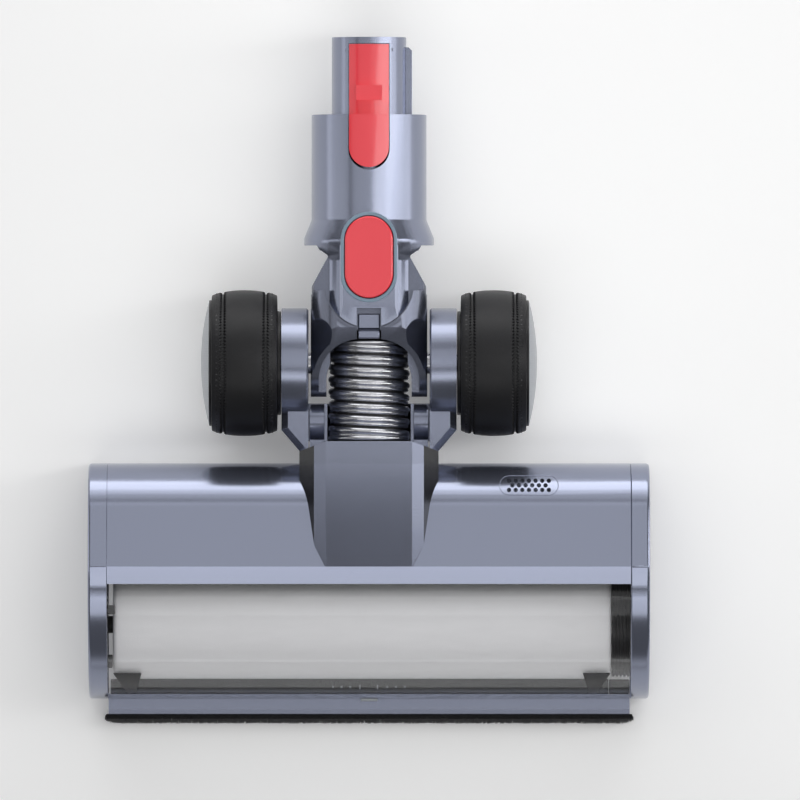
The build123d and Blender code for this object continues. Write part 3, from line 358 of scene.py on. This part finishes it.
def hubCapFinish():
    # silver cap covered with a fine dot mesh
    h = hubCap
    mat, tree, bsdf = newMaterial("dotted hub cap")
    cells = tree.nodes.new("ShaderNodeTexVoronoi")
    cells.inputs["Scale"].default_value = h["mesh"]
    cells.inputs["Randomness"].default_value = h["uneven"]
    tree.links.new(objectCoords(tree), cells.inputs["Vector"])
    fade = rangeOf(tree, cells.outputs["Distance"], 0.0, 2.0)
    colour = mixColour(tree, fade, finish["hub"]["light"], finish["hub"]["dark"])
    tree.links.new(colour, bsdf.inputs["Base Color"])
    bsdf.inputs["Metallic"].default_value = h["metal"]
    bsdf.inputs["Roughness"].default_value = h["rough"]
    addBump(tree, bsdf, cells.outputs["Distance"], h["dent"], h["dentDepth"])
    return mat


studio = {
    "cameraX": 14.26 * mm, "cameraY": -8.5 * mm, "cameraHeight": 8.0, "sensor": 36,
    # the picture is this wide at this height above the floor
    "field": 0.368, "levelHeight": 45 * mm,
    # lamps that shine straight down
    "level": ("overhead", "lipStrip"),
    "worldHigh": 0.12, "worldLow": 0.80, "horizon": (0.05, 0.22),
    "floorSize": 14.0, "floorDark": (0.93, 0.93, 0.93), "floorLight": (0.94, 0.94, 0.94), "floorGlow": 0.17,
    "aim": (0, 0, 0.03),
    # name, place, size across and along, power in watts
    "lamps": [("overhead", (0.0, 0.0725, 0.35), (0.42, 0.235), 0.235),
              ("lipStrip", (0.0, -0.16, 0.35), (0.5, 0.05), 0.06),
              ("rearLow", (0.0, 1.27, 0.341), (1.8, 0.525), 3.5),
              ("rearMiddle", (0.0, 1.27, 0.463), (1.9, 0.791), 3.4),
              ("rearHigh", (0.0, 1.257, 0.588), (2.0, 1.082), 3.6),
              ("rearHalo", (0.0, 1.221, 0.736), (2.2, 1.467), 3.2),
              ("rightStrip", (0.72, 0.15, 0.86), (0.14, 1.5), 2.2),
              ("right", (1.05, 0.1, 0.42), (0.35, 1.6), 3.0),
              ("left", (-1.1, 0.1, 0.30), (0.28, 1.6), 1.5),
              ("front", (0.0, -0.56, 1.15), (1.5, 0.42), 2.7)],
}


def makeStudio():
    s = studio
    camera = bpy.data.cameras.new("camera")
    camera.sensor_width = s["sensor"]
    camera.lens = s["sensor"] * (s["cameraHeight"] - s["levelHeight"]) / s["field"]
    camera.clip_end = 20
    view = bpy.data.objects.new("camera", camera)
    view.location = (s["cameraX"], s["cameraY"], s["cameraHeight"])
    bpy.context.scene.collection.objects.link(view)
    bpy.context.scene.camera = view
    for name, place, size, power in s["lamps"]:
        lamp = bpy.data.lights.new(name, "AREA")
        lamp.shape = "RECTANGLE"
        lamp.size, lamp.size_y = size
        lamp.energy = power
        holder = bpy.data.objects.new(name, lamp)
        holder.location = place
        aim = Vector(s["aim"]) - Vector(place)
        if name in s["level"]:
            aim = Vector((0, 0, -1))
        holder.rotation_euler = aim.to_track_quat("-Z", "Y").to_euler()
        holder.visible_camera = False
        bpy.context.scene.collection.objects.link(holder)
    makeWorld()
    makeFloor()
    bpy.context.scene.view_settings.view_transform = "Standard"
    print("studio made")


def makeWorld():
    # grey room that grows pale towards the floor
    world = bpy.data.worlds.new("studio")
    bpy.context.scene.world = world
    world.use_nodes = True
    tree = world.node_tree
    coord = tree.nodes.new("ShaderNodeTexCoord")
    split = tree.nodes.new("ShaderNodeSeparateXYZ")
    rise = tree.nodes.new("ShaderNodeMapRange")
    rise.inputs["From Min"].default_value = studio["horizon"][0]
    rise.inputs["From Max"].default_value = studio["horizon"][1]
    rise.inputs["To Min"].default_value = studio["worldLow"]
    rise.inputs["To Max"].default_value = studio["worldHigh"]
    tree.links.new(coord.outputs["Generated"], split.inputs["Vector"])
    tree.links.new(split.outputs["Z"], rise.inputs["Value"])
    tree.links.new(rise.outputs["Result"], tree.nodes["Background"].inputs["Strength"])
    tree.nodes["Background"].inputs["Color"].default_value = (1, 1, 1, 1)


def makeFloor():
    bm = bmesh.new()
    bmesh.ops.create_grid(bm, x_segments=1, y_segments=1, size=studio["floorSize"] / 2)
    mesh = bpy.data.meshes.new("floor")
    bm.to_mesh(mesh)
    bm.free()
    mat, tree, bsdf = newMaterial("pale floor")
    vector = objectCoords(tree)
    colour = mixColour(tree, noiseTexture(tree, vector, 3), studio["floorDark"], studio["floorLight"])
    tree.links.new(colour, bsdf.inputs["Base Color"])
    bsdf.inputs["Roughness"].default_value = 0.9
    bsdf.inputs["Specular IOR Level"].default_value = 0.0
    seen = tree.nodes.new("ShaderNodeLightPath")
    total = seen.outputs["Is Camera Ray"]
    for kind in ("Is Glossy Ray", "Is Transmission Ray"):
        either = tree.nodes.new("ShaderNodeMath")
        either.operation = "MAXIMUM"
        tree.links.new(total, either.inputs[0])
        tree.links.new(seen.outputs[kind], either.inputs[1])
        total = either.outputs["Value"]
    bsdf.inputs["Emission Color"].default_value = (1, 1, 1, 1)
    tree.links.new(rangeOf(tree, total, 0.0, studio["floorGlow"]), bsdf.inputs["Emission Strength"])
    mesh.materials.append(mat)
    floor = bpy.data.objects.new("floor", mesh)
    bpy.context.scene.collection.objects.link(floor)


def ringChain(bm, centre, radius, sides):
    # a closed chain of corners round a point, in the plane through the Y axis
    corners = []
    for step in range(sides):
        turn = 2 * math.pi * step / sides
        across = centre[0] - radius * math.cos(turn)
        along = centre[1] + radius * math.sin(turn)
        corners.append(bm.verts.new((across, along, centre[2])))
    return corners + [bm.edges.new(pair) for pair in zip(corners, corners[1:] + corners[:1])]


coil = {"start": -27.3 * mm, "end": 19.4 * mm, "pitch": 5.6 * mm, "crest": 18.8 * mm, "bead": 1.75 * mm,
        "smallCrest": 18.2 * mm, "smallBead": 1.05 * mm, "skin": 16.2 * mm, "skinWall": 0.9 * mm,
        "skinRows": 24, "skinSteps": 72, "steps": 56, "endRing": 1.3 * mm, "endRingSides": 12}


def makeCoil(mats):
    # two round wires wound side by side over a thin dark skin, closed by a ring at each end
    c = coil
    bm = bmesh.new()
    length = c["end"] - c["start"]
    # crest, thickness, how far along the pitch it starts, and sides of each wire
    for crest, bead, shift, sides in ((c["crest"], c["bead"], 0.0, 14),
                                      (c["smallCrest"], c["smallBead"], 0.5, 10)):
        top = c["end"] - bead - shift * c["pitch"]
        turns = (top - bead - c["start"]) / c["pitch"]
        count = int(turns * c["steps"])
        ring = ringChain(bm, (-(crest - bead), top, axleZ), bead, sides)
        advance = (0, -c["pitch"] / c["steps"], 0)
        made = bmesh.ops.spin(bm, geom=ring, cent=(0, 0, axleZ), axis=(0, 1, 0), dvec=advance,
                              angle=2 * math.pi * count / c["steps"], steps=count, use_duplicate=False)
        last = [e for e in made["geom_last"] if isinstance(e, bmesh.types.BMEdge)]
        bmesh.ops.contextual_create(bm, geom=last)
        bmesh.ops.contextual_create(bm, geom=[e for e in ring if isinstance(e, bmesh.types.BMEdge)])
    for along in (c["start"] + c["endRing"], c["end"] - c["endRing"]):
        ring = ringChain(bm, (-(c["crest"] - c["endRing"]), along, axleZ), c["endRing"], c["endRingSides"])
        bmesh.ops.spin(bm, geom=ring, cent=(0, 0, axleZ), axis=(0, 1, 0), angle=2 * math.pi,
                       steps=c["steps"], use_merge=True)
    wound = set(bm.faces)
    skin = []
    for step in range(c["skinRows"] + 1):
        skin.append((c["start"] + length * step / c["skinRows"], c["skin"]))
    inner = [(a, r - c["skinWall"]) for a, r in reversed(skin)]
    profile = [bm.verts.new((0, a, axleZ + r)) for a, r in skin + inner]
    chain = profile + [bm.edges.new(pair) for pair in zip(profile, profile[1:] + profile[:1])]
    bmesh.ops.spin(bm, geom=chain, cent=(0, 0, axleZ), axis=(0, 1, 0), angle=2 * math.pi,
                   steps=c["skinSteps"], use_merge=True)
    for face in bm.faces:
        face.material_index = 0 if face in wound else 1
    piece = finishMesh("coil_hose_wound", bm, None, "hose_coil", mats["coil"], "coil_hose")
    piece.data.materials.append(mats["black"])
    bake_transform(piece)


gaiter = {"start": 36.0 * mm, "end": 72.35 * mm, "outer": 13.8 * mm, "fold": 1.7 * mm, "pitch": 3.4 * mm,
          "wall": 0.8 * mm, "cuff": 2.4 * mm, "steps": 72, "bend": 8 * mm,
          # place along each fold, and how much of the fold's depth it lies in
          "wave": [(0.20, 1), (0.32, 1), (0.62, 0), (0.84, 0)]}


def makeGaiter(mats):
    # rubber bellows across the steering joint
    g = gaiter
    outer = [(g["start"], g["outer"]), (g["start"] + g["cuff"], g["outer"])]
    along = g["start"] + g["cuff"]
    while along + g["pitch"] < g["end"] - g["cuff"]:
        for share, depth in g["wave"]:
            outer.append((along + share * g["pitch"], g["outer"] - depth * g["fold"]))
        along += g["pitch"]
    outer.append((g["end"], g["outer"]))
    inner = [(a, r - g["wall"]) for a, r in reversed(outer)]
    bm = turned(outer + inner, (0, 0, axleZ), (0, 1, 0), g["steps"])
    piece = finishMesh("gaiter_bellows", bm, None, "black_rubber", mats["rubber"], "swivel_gaiter",
                       smooth=28)
    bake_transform(piece)


# place along the neck, foot, top, the joint that presses it and how much of its height is left
springs = {"button_spring": (57.14 * mm, 56.65 * mm, 61.15 * mm, "button_press", 0.55),
           "latch_spring": (107.64 * mm, 50.85 * mm, 56.75 * mm, "latch_press", 0.52)}
springWire = {"thick": 0.38 * mm, "radius": 3.1 * mm, "turns": 4, "steps": 28, "sides": 8}


def makeSprings(mats):
    w = springWire
    count = w["turns"] * w["steps"]
    for node, (y, low, high, joint, keep) in springs.items():
        bm = bmesh.new()
        rise = (high - low - 2 * w["thick"]) / count
        corners = []
        for step in range(w["sides"]):
            turn = 2 * math.pi * step / w["sides"]
            out = w["radius"] + w["thick"] * math.cos(turn)
            up = low + w["thick"] + w["thick"] * math.sin(turn)
            corners.append(bm.verts.new((out, y, up)))
        chain = corners + [bm.edges.new(pair) for pair in zip(corners, corners[1:] + corners[:1])]
        bmesh.ops.spin(bm, geom=chain, cent=(0, y, 0), axis=(0, 0, 1), dvec=(0, 0, rise),
                       angle=2 * math.pi * w["turns"], steps=count, use_duplicate=False)
        piece = finishMesh(node + "_wire", bm, "neck", "steel", mats["steel"], node)
        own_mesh(piece)


tyre = {"middle": 57.35 * mm, "steps": 248, "tooth": 0.5 * mm,
        # place across the tread, radius, how far the edge zigzags
        "half": [(0.0, 33.595, 0), (2.6, 33.55, 0), (5.2, 33.38, 0), (7.4, 33.1, 0), (8.4, 32.9, 0.6),
                 (8.85, 32.6, 1), (9.0, 31.7, 1), (10.75, 31.7, -1), (10.95, 32.3, -1), (11.3, 32.45, -0.5),
                 (12.8, 32.0, 0), (14.6, 31.35, 0), (14.95, 31.1, 0), (15.08, 30.6, 0), (15.1, 28.7, 0)],
        "dots": 76, "dotRadius": 0.55 * mm, "dotTaper": 0.6, "dotHeight": 0.5 * mm,
        "dotSink": 0.12, "dotRows": [(-12.7, 32.02), (12.7, 32.02)]}


def makeTyres(mats):
    t = tyre
    rows = [(-a, r, w) for a, r, w in reversed(t["half"][1:])] + list(t["half"])
    for side, word in ((-1, "left"), (1, "right")):
        bm = bmesh.new()
        loops = []
        for across, radius, wobble in rows:
            made = bmesh.ops.create_circle(bm, segments=t["steps"], radius=radius * mm,
                                           matrix=Matrix.Rotation(math.pi / 2, 4, "Y"))
            ring = made["verts"]
            way = -1 if across < 0 else 1
            for step, corner in enumerate(ring):
                zig = wobble * t["tooth"] * (1 if step % 2 else -1)
                corner.co = Vector((side * t["middle"] + across * mm + way * zig, axleY + corner.co.y,
                                    axleZ + corner.co.z))
            loops.append(list({e for v in ring for e in v.link_edges}))
        for near, far in zip(loops, loops[1:] + loops[:1]):
            bmesh.ops.bridge_loops(bm, edges=near + far)
        finishMesh("tyre_tread_" + word, bm, "wheel_" + word, "tyre_rubber", mats["rubber"], "tyre_" + word,
                   smooth=24)
        bm = bmesh.new()
        for across, radius in t["dotRows"]:
            for step in range(t["dots"]):
                turn = 2 * math.pi * step / t["dots"]
                spin = Matrix.Rotation(turn, 4, "X")
                place = Matrix.Translation((side * t["middle"] + across * mm, axleY, axleZ)) @ spin
                place = place @ Matrix.Translation((0, 0, (radius - t["dotSink"]) * mm))
                bmesh.ops.create_cone(bm, cap_ends=True, segments=8, radius1=t["dotRadius"],
                                      radius2=t["dotRadius"] * t["dotTaper"], depth=t["dotHeight"],
                                      matrix=place)
        finishMesh("tyre_dots_" + word, bm, "wheel_" + word, "tyre_rubber", mats["dot"], smooth=50)


roller = {"left": -117.7 * mm, "right": 111.4 * mm, "radius": 24.95 * mm, "bore": 21.0 * mm,
          "step": 0.3 * mm, "round": 2.2 * mm, "roundRows": 4, "steps": 150, "rows": 110,
          "fuzz": 0.10 * mm, "skin": 0.5 * mm}


def makeRoller(mats):
    # soft sleeve with rounded ends and an uneven pile
    r = roller
    spread = random.Random(4)
    corner = []
    for step in range(r["roundRows"] + 1):
        turn = math.pi / 2 * step / r["roundRows"]
        corner.append((r["round"] * (1 - math.sin(turn)), r["radius"] - r["round"] * (1 - math.cos(turn))))
    points = [(r["left"] + r["step"], r["bore"])]
    points += [(r["left"] + inset, radius) for inset, radius in reversed(corner)]
    length = r["right"] - r["left"] - 2 * r["round"]
    for step in range(1, r["rows"]):
        points.append((r["left"] + r["round"] + length * step / r["rows"], r["radius"]))
    points += [(r["right"] - inset, radius) for inset, radius in corner]
    points.append((r["right"] - r["step"], r["bore"]))
    bm = turned(points, (0, rollerY, rollerZ), (1, 0, 0), r["steps"])
    for tuft in bm.verts:
        out = Vector((0, tuft.co.y - rollerY, tuft.co.z - rollerZ))
        if out.length > r["radius"] - r["skin"]:
            tuft.co -= out.normalized() * spread.random() * r["fuzz"]
    finishMesh("pile_sleeve", bm, "roller", "pile", mats["pile"], "roller_sleeve", smooth=70)


brush = {"half": 121.6 * mm, "limit": 122.2 * mm, "back": -153.65 * mm, "front": -158.25 * mm,
         "top": 11.9 * mm, "rows": 4, "across": 300, "strands": 3, "width": 0.24 * mm, "taper": 0.6,
         # how far the ends fan out, over what width, and how strongly they curve back there
         "fan": 1.1 * mm, "splay": 5.0 * mm, "round": 1500,
         "rowGap": 0.5 * mm, "tipGap": 0.35 * mm, "tipLift": 0.1 * mm,
         "scatter": 0.5 * mm, "rowScatter": 0.2 * mm, "tipScatter": 0.6 * mm,
         "holderDepth": 1.9 * mm, "holderFoot": 2.0 * mm, "holderDrop": 1.2 * mm}


def makeBristles(mats):
    # strands that lean forward out of a narrow holder and fan out at its ends
    b = brush
    spread = random.Random(11)
    bm = bmesh.new()
    for row in range(b["rows"]):
        for step in range(b["across"]):
            x = -b["half"] + 2 * b["half"] * (step + 0.5) / b["across"]
            fan = max(0.0, abs(x) - b["half"] + b["splay"]) / b["splay"] * math.copysign(b["fan"], x)
            for strand in range(b["strands"]):
                footX = x + spread.uniform(-b["scatter"], b["scatter"])
                footRow = b["rowGap"] * (row + 1) + spread.uniform(-b["rowScatter"], b["rowScatter"])
                footTop = b["top"] - spread.uniform(0.0, b["scatter"])
                foot = Vector((footX, b["back"] - footRow, footTop))
                tipX = foot.x + spread.uniform(-b["scatter"], b["scatter"]) + fan
                tipRow = b["tipGap"] * (b["rows"] - 1 - row) + spread.uniform(0.0, b["tipScatter"])
                tipY = b["front"] + tipRow + abs(fan) ** 2 * b["round"]
                tip = Vector((tipX, tipY, b["tipLift"] + spread.random() * b["scatter"]))
                for end in (foot, tip):
                    end.x = max(-b["limit"], min(b["limit"], end.x))
                lean = foot - tip
                turn = lean.to_track_quat("Z", "Y").to_matrix().to_4x4()
                place = Matrix.Translation((foot + tip) / 2) @ turn
                bmesh.ops.create_cone(bm, cap_ends=True, segments=4, radius1=b["width"] * b["taper"],
                                      radius2=b["width"], depth=lean.length, matrix=place)
    finishMesh("front_bristles", bm, "head", "bristle", mats["bristle"], "front_bristle_strip", smooth=60)
    bm = bmesh.new()
    boxInto(bm, (-b["half"], b["back"] - b["holderDepth"], b["holderFoot"]),
            (b["half"], b["back"], b["top"] - b["holderDrop"]))
    bevelEdges(finishMesh("bristle_holder", bm, "head", "bristle", mats["bristle"], smooth=30), fineBevel)


def boxInto(bm, low, high):
    # a box between two corners
    low = Vector(low)
    high = Vector(high)
    place = Matrix.Translation((low + high) / 2) @ Matrix.Diagonal((*(high - low), 1))
    return bmesh.ops.create_cube(bm, size=1, matrix=place)["verts"]


felt = {"low": (-120.2, -82.4, 1.1), "high": (120.2, -77.6, 4.0), "fuzz": 0.12, "cells": (160, 4),
        # edges longer than this run along or across the strip, and corners below this lie on the floor
        "along": 50, "across": 3, "under": 2}


def makeFelt(mats):
    f = felt
    spread = random.Random(5)
    bm = bmesh.new()
    boxInto(bm, Vector(f["low"]) * mm, Vector(f["high"]) * mm)
    long = [e for e in bm.edges if abs(e.verts[0].co.x - e.verts[1].co.x) > f["along"] * mm]
    bmesh.ops.subdivide_edges(bm, edges=long, cuts=f["cells"][0], use_grid_fill=True)
    short = [e for e in bm.edges if abs(e.verts[0].co.y - e.verts[1].co.y) > f["across"] * mm]
    bmesh.ops.subdivide_edges(bm, edges=short, cuts=f["cells"][1], use_grid_fill=True)
    for corner in bm.verts:
        if corner.co.z < f["under"] * mm:
            corner.co.z += spread.random() * f["fuzz"] * mm
    finishMesh("felt_strip", bm, "head", "felt", mats["felt"], "rear_felt_strip", smooth=60)


inside = {"windowY": -92.91, "windowZ": 11.0, "hug": 51.2, "thick": 0.7, "plateRows": 8,
          # outer x, inner x and y at the back and at the front of each corner plate
          "plates": [((-117.6, -104.8, -134.3), (-110.9, -107.5, -143.9)),
                     ((110.9, 98.5, -134.3), (104.5, 101.5, -143.9))],
          "pips": [-16.65, -12.7, -8.74, 8.37, 12.4, 16.5], "pipY": -141.0, "pipZ": 17.0, "pipLift": 0.2,
          "pipFoot": 0.5, "pipTop": 0.35, "pipHeight": 0.6,
          "ticks": [-4.23, 3.86], "tickLow": (-0.25, -1.0, -0.2), "tickHigh": (0.25, 1.0, 0.4),
          # back, front, foot, top and inner end of each clip, clear of the roller
          "clips": [(-107.0, -102.8, 51.8, 60.0, -116.6), (-131.8, -125.8, 28.5, 44.5, -118.1)],
          "clipWall": -120.2, "clipBevel": 0.5,
          "railEnd": ((110.7, -144.2, 11.2), (120.1, -137.5, 16.9)),
          "lipTab": ((-3.9, -147.6, 13.6), (3.9, -146.2, 14.5))}


def makeInsides(mats):
    # small parts seen through the window
    w = inside
    bm = bmesh.new()
    for (outA, inA, yA), (outB, inB, yB) in w["plates"]:
        rows = []
        for step in range(w["plateRows"] + 1):
            t = step / w["plateRows"]
            y = yA + (yB - yA) * t
            z = w["windowZ"] + math.sqrt(w["hug"] ** 2 - (y - w["windowY"]) ** 2)
            rows.append([bm.verts.new(Vector((outA + (outB - outA) * t, y, z)) * mm),
                         bm.verts.new(Vector((inA + (inB - inA) * t, y, z)) * mm)])
        edges = [[bm.edges.new(row)] for row in rows]
        for near, far in zip(edges, edges[1:]):
            bmesh.ops.bridge_loops(bm, edges=near + far)
    bmesh.ops.recalc_face_normals(bm, faces=bm.faces)
    plates = finishMesh("window_corner_plates", bm, "head", "black_plastic", mats["black"], smooth=40)
    thick = plates.modifiers.new("thickness", "SOLIDIFY")
    thick.thickness = w["thick"] * mm
    thick.offset = 0
    bm = bmesh.new()
    for x in w["pips"]:
        place = Matrix.Translation(Vector((x, w["pipY"], w["pipZ"] + w["pipLift"])) * mm)
        bmesh.ops.create_cone(bm, cap_ends=True, segments=20, radius1=w["pipFoot"] * mm,
                              radius2=w["pipTop"] * mm, depth=w["pipHeight"] * mm, matrix=place)
    for x in w["ticks"]:
        middle = Vector((x, w["pipY"], w["pipZ"]))
        boxInto(bm, (middle + Vector(w["tickLow"])) * mm, (middle + Vector(w["tickHigh"])) * mm)
    finishMesh("rail_pips", bm, "head", "black_plastic", mats["hub"], smooth=40)
    bm = bmesh.new()
    for near, far, foot, top, end in w["clips"]:
        boxInto(bm, Vector((w["clipWall"], near, foot)) * mm, Vector((end, far, top)) * mm)
    boxInto(bm, Vector(w["railEnd"][0]) * mm, Vector(w["railEnd"][1]) * mm)
    clips = finishMesh("left_wall_clips", bm, "head", "black_plastic", mats["black"], smooth=30)
    bevelEdges(clips, w["clipBevel"] * mm)
    bm = bmesh.new()
    boxInto(bm, Vector(w["lipTab"][0]) * mm, Vector(w["lipTab"][1]) * mm)
    bevelEdges(finishMesh("front_lip_tab", bm, "head", "casing_plastic", mats["hub"], smooth=30), fineBevel)


ventRim = {"x": 73.5, "y": -47.71, "end": 4.4, "straight": 9.1, "endSteps": 16, "bead": 0.2, "sides": 8,
           # the round rear edge of the cover
           "arcY": -64.71, "arcZ": 33.11, "arc": 27.0}


def makeVentRim(mats):
    # fine raised line round the vent that follows the curve of the cover
    v = ventRim
    path = []
    for side in (1, -1):
        for step in range(v["endSteps"] + 1):
            turn = math.pi * (step / v["endSteps"] - 0.5)
            x = v["x"] + side * (v["straight"] + v["end"] * math.cos(turn))
            y = v["y"] + side * v["end"] * math.sin(turn)
            path.append(Vector((x, y, v["arcZ"] + math.sqrt(v["arc"] ** 2 - (y - v["arcY"]) ** 2))))
    bm = bmesh.new()
    loops = []
    for place, here in enumerate(path):
        along = path[(place + 1) % len(path)] - path[place - 1]
        out = Vector((0, here.y - v["arcY"], here.z - v["arcZ"])).normalized()
        across = along.cross(out).normalized()
        ring = []
        for step in range(v["sides"]):
            turn = 2 * math.pi * step / v["sides"]
            away = across * math.cos(turn) + out * math.sin(turn)
            ring.append(bm.verts.new((here + away * v["bead"]) * mm))
        loops.append([bm.edges.new(pair) for pair in zip(ring, ring[1:] + ring[:1])])
    for near, far in zip(loops, loops[1:] + loops[:1]):
        bmesh.ops.bridge_loops(bm, edges=near + far)
    finishMesh("vent_rim", bm, "head", "casing_plastic", mats["casing"], smooth=60)


screw = {"radius": 2.85, "head": 1.6, "chamfer": 0.3, "rim": 0.4, "shank": 1.45, "length": 8.8,
         "under": 4.05, "socket": 1.3, "depth": 1.1, "taper": 0.92, "lobe": 0.16, "sides": 24,
         # corners this near the lowest one belong to a head, and heads lie further apart than this
         "foot": 0.1, "apart": 7}


def makeScrews(mats):
    # pan heads with a six-lobed socket, seen from under the base
    s = screw
    bm = bmesh.new()
    for x, y in screwPlaces():
        rings = []
        neck = s["under"] + s["head"]
        for z, radius, lobes in ((s["under"] + s["length"], s["shank"], 0), (neck, s["shank"], 0),
                                 (neck, s["radius"], 0), (s["under"] + s["chamfer"], s["radius"], 0),
                                 (s["under"], s["radius"] - s["rim"], 0), (s["under"], s["socket"], 1),
                                 (s["under"] + s["depth"], s["socket"] * s["taper"], 1)):
            ring = bmesh.ops.create_circle(bm, segments=s["sides"], radius=radius * mm)["verts"]
            for step, corner in enumerate(ring):
                grow = 1 + s["lobe"] * lobes * math.cos(step * math.pi / 2)
                corner.co = Vector((corner.co.x * grow + x, corner.co.y * grow + y, z * mm))
            rings.append(ring)
        loops = [list({e for v in ring for e in v.link_edges}) for ring in rings]
        for near, far in zip(loops, loops[1:]):
            bmesh.ops.bridge_loops(bm, edges=near + far)
        bmesh.ops.contextual_create(bm, geom=loops[0])
        bmesh.ops.contextual_create(bm, geom=loops[-1])
    finishMesh("base_screw_heads", bm, "head", "steel", mats["steel"], "base_screws", smooth=35)


def screwPlaces():
    # centres of the screws, read from the solid's lowest corners
    found = []
    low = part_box("base_screws")[0][2]
    for corner in nodes["base_screws"].data.vertices:
        if corner.co.z < low + screw["foot"] * mm:
            for group in found:
                if (Vector(group[0]) - Vector((corner.co.x, corner.co.y))).length < screw["apart"] * mm:
                    group.append((corner.co.x, corner.co.y))
                    break
            else:
                found.append([(corner.co.x, corner.co.y)])
    places = []
    for group in found:
        xs = [p[0] for p in group]
        ys = [p[1] for p in group]
        places.append(((min(xs) + max(xs)) / 2, (min(ys) + max(ys)) / 2))
    return places


# solids that get broken edges: node, slot, finish, width of the edges in mm
dressed = [
    ("top_cover", "casing_plastic", "casing", 0.35), ("front_bumper", "casing_plastic", "casing", 0.7),
    ("inlet_block", "casing_plastic", "casing", 0.5), ("end_cap_left", "casing_plastic", "casing", 0.6),
    ("end_cap_right", "casing_plastic", "casing", 0.6), ("base_plate", "casing_plastic", "casing", 0.3),
    ("vent_grille", "casing_plastic", "casing", 0.12), ("wheel_carrier", "neck_plastic", "neck", 0.5),
    # the yoke takes the darker gunmetal, which is painted shade
    ("yoke_body", "neck_plastic", "yoke", 0.7), ("neck_body", "neck_plastic", "neck", 0.45),
    ("collar_sleeve", "neck_plastic", "neck", 0.5), ("spigot_tube", "neck_plastic", "neck", 0.4),
    ("steering_tongue", "neck_plastic", "casing", 0.5), ("plug_housing", "neck_plastic", "neck", 0.35),
    ("button_bezel", "bezel_plastic", "bezel", 0.4), ("oval_button", "red_plastic", "red", 0.6),
    ("release_lever", "red_plastic", "red", 0.45), ("clear_window", "clear_plastic", "clear", 0.3),
    ("window_inner_rail", "black_plastic", "black", 0.3),
    ("motor_mount_ring", "black_plastic", "black", 0.12),
    ("hub_ring_left", "black_rubber", "black", 0.25), ("hub_ring_right", "black_rubber", "black", 0.25),
    ("wheel_shield_left", "black_rubber", "black", 0.25),
    ("wheel_shield_right", "black_rubber", "black", 0.25),
    ("hub_cap_left", "hub_silver", "hubCap", 0.3), ("hub_cap_right", "hub_silver", "hubCap", 0.3),
    ("hose_front_cuff", "black_plastic", "black", 0.4), ("hose_rear_cuff", "black_plastic", "black", 0.4),
    ("end_lock_dial", "black_plastic", "black", 0.25),
]
# solids that only get a finish
painted = {
    "black": ["roller_chamber_wall", "inlet_duct", "gearbox", "wheel_rim_left", "wheel_rim_right",
              "roller_end_bung", "roller_drive_hub", "roller_core"],
    "steel": ["motor_can", "roller_end_bearing", "axle_left", "axle_right", "axle_clips",
              "gearbox_output_shaft", "steering_pins"],
    "neck": ["latch_pin"],
    "brass": ["roller_support_bearing", "wheel_bush_left", "wheel_bush_right", "contact_pins"],
    "board": ["control_board"],
}


def makeAll():
    makeStudio()
    mats = makeFinishes()
    print("finishes made")
    for node, slot, key, width in dressed:
        piece = dressNode(node, slot, mats[key], width * mm)
        # the steep sides of the carrier and the inlet block get painted shade
        if node in flushNodes:
            paintShadeOnSides(piece, mats["side"])
    for key, names in painted.items():
        for node in names:
            paintNode(node, mats[key])
    print("mouldings dressed")
    makeCoil(mats)
    makeGaiter(mats)
    makeSprings(mats)
    print("hose, gaiter and springs made")
    makeTyres(mats)
    print("tyres made")
    makeRoller(mats)
    makeBristles(mats)
    makeFelt(mats)
    print("roller and brushes made")
    makeInsides(mats)
    makeVentRim(mats)
    makeScrews(mats)
    print("small parts made")


makeAll()
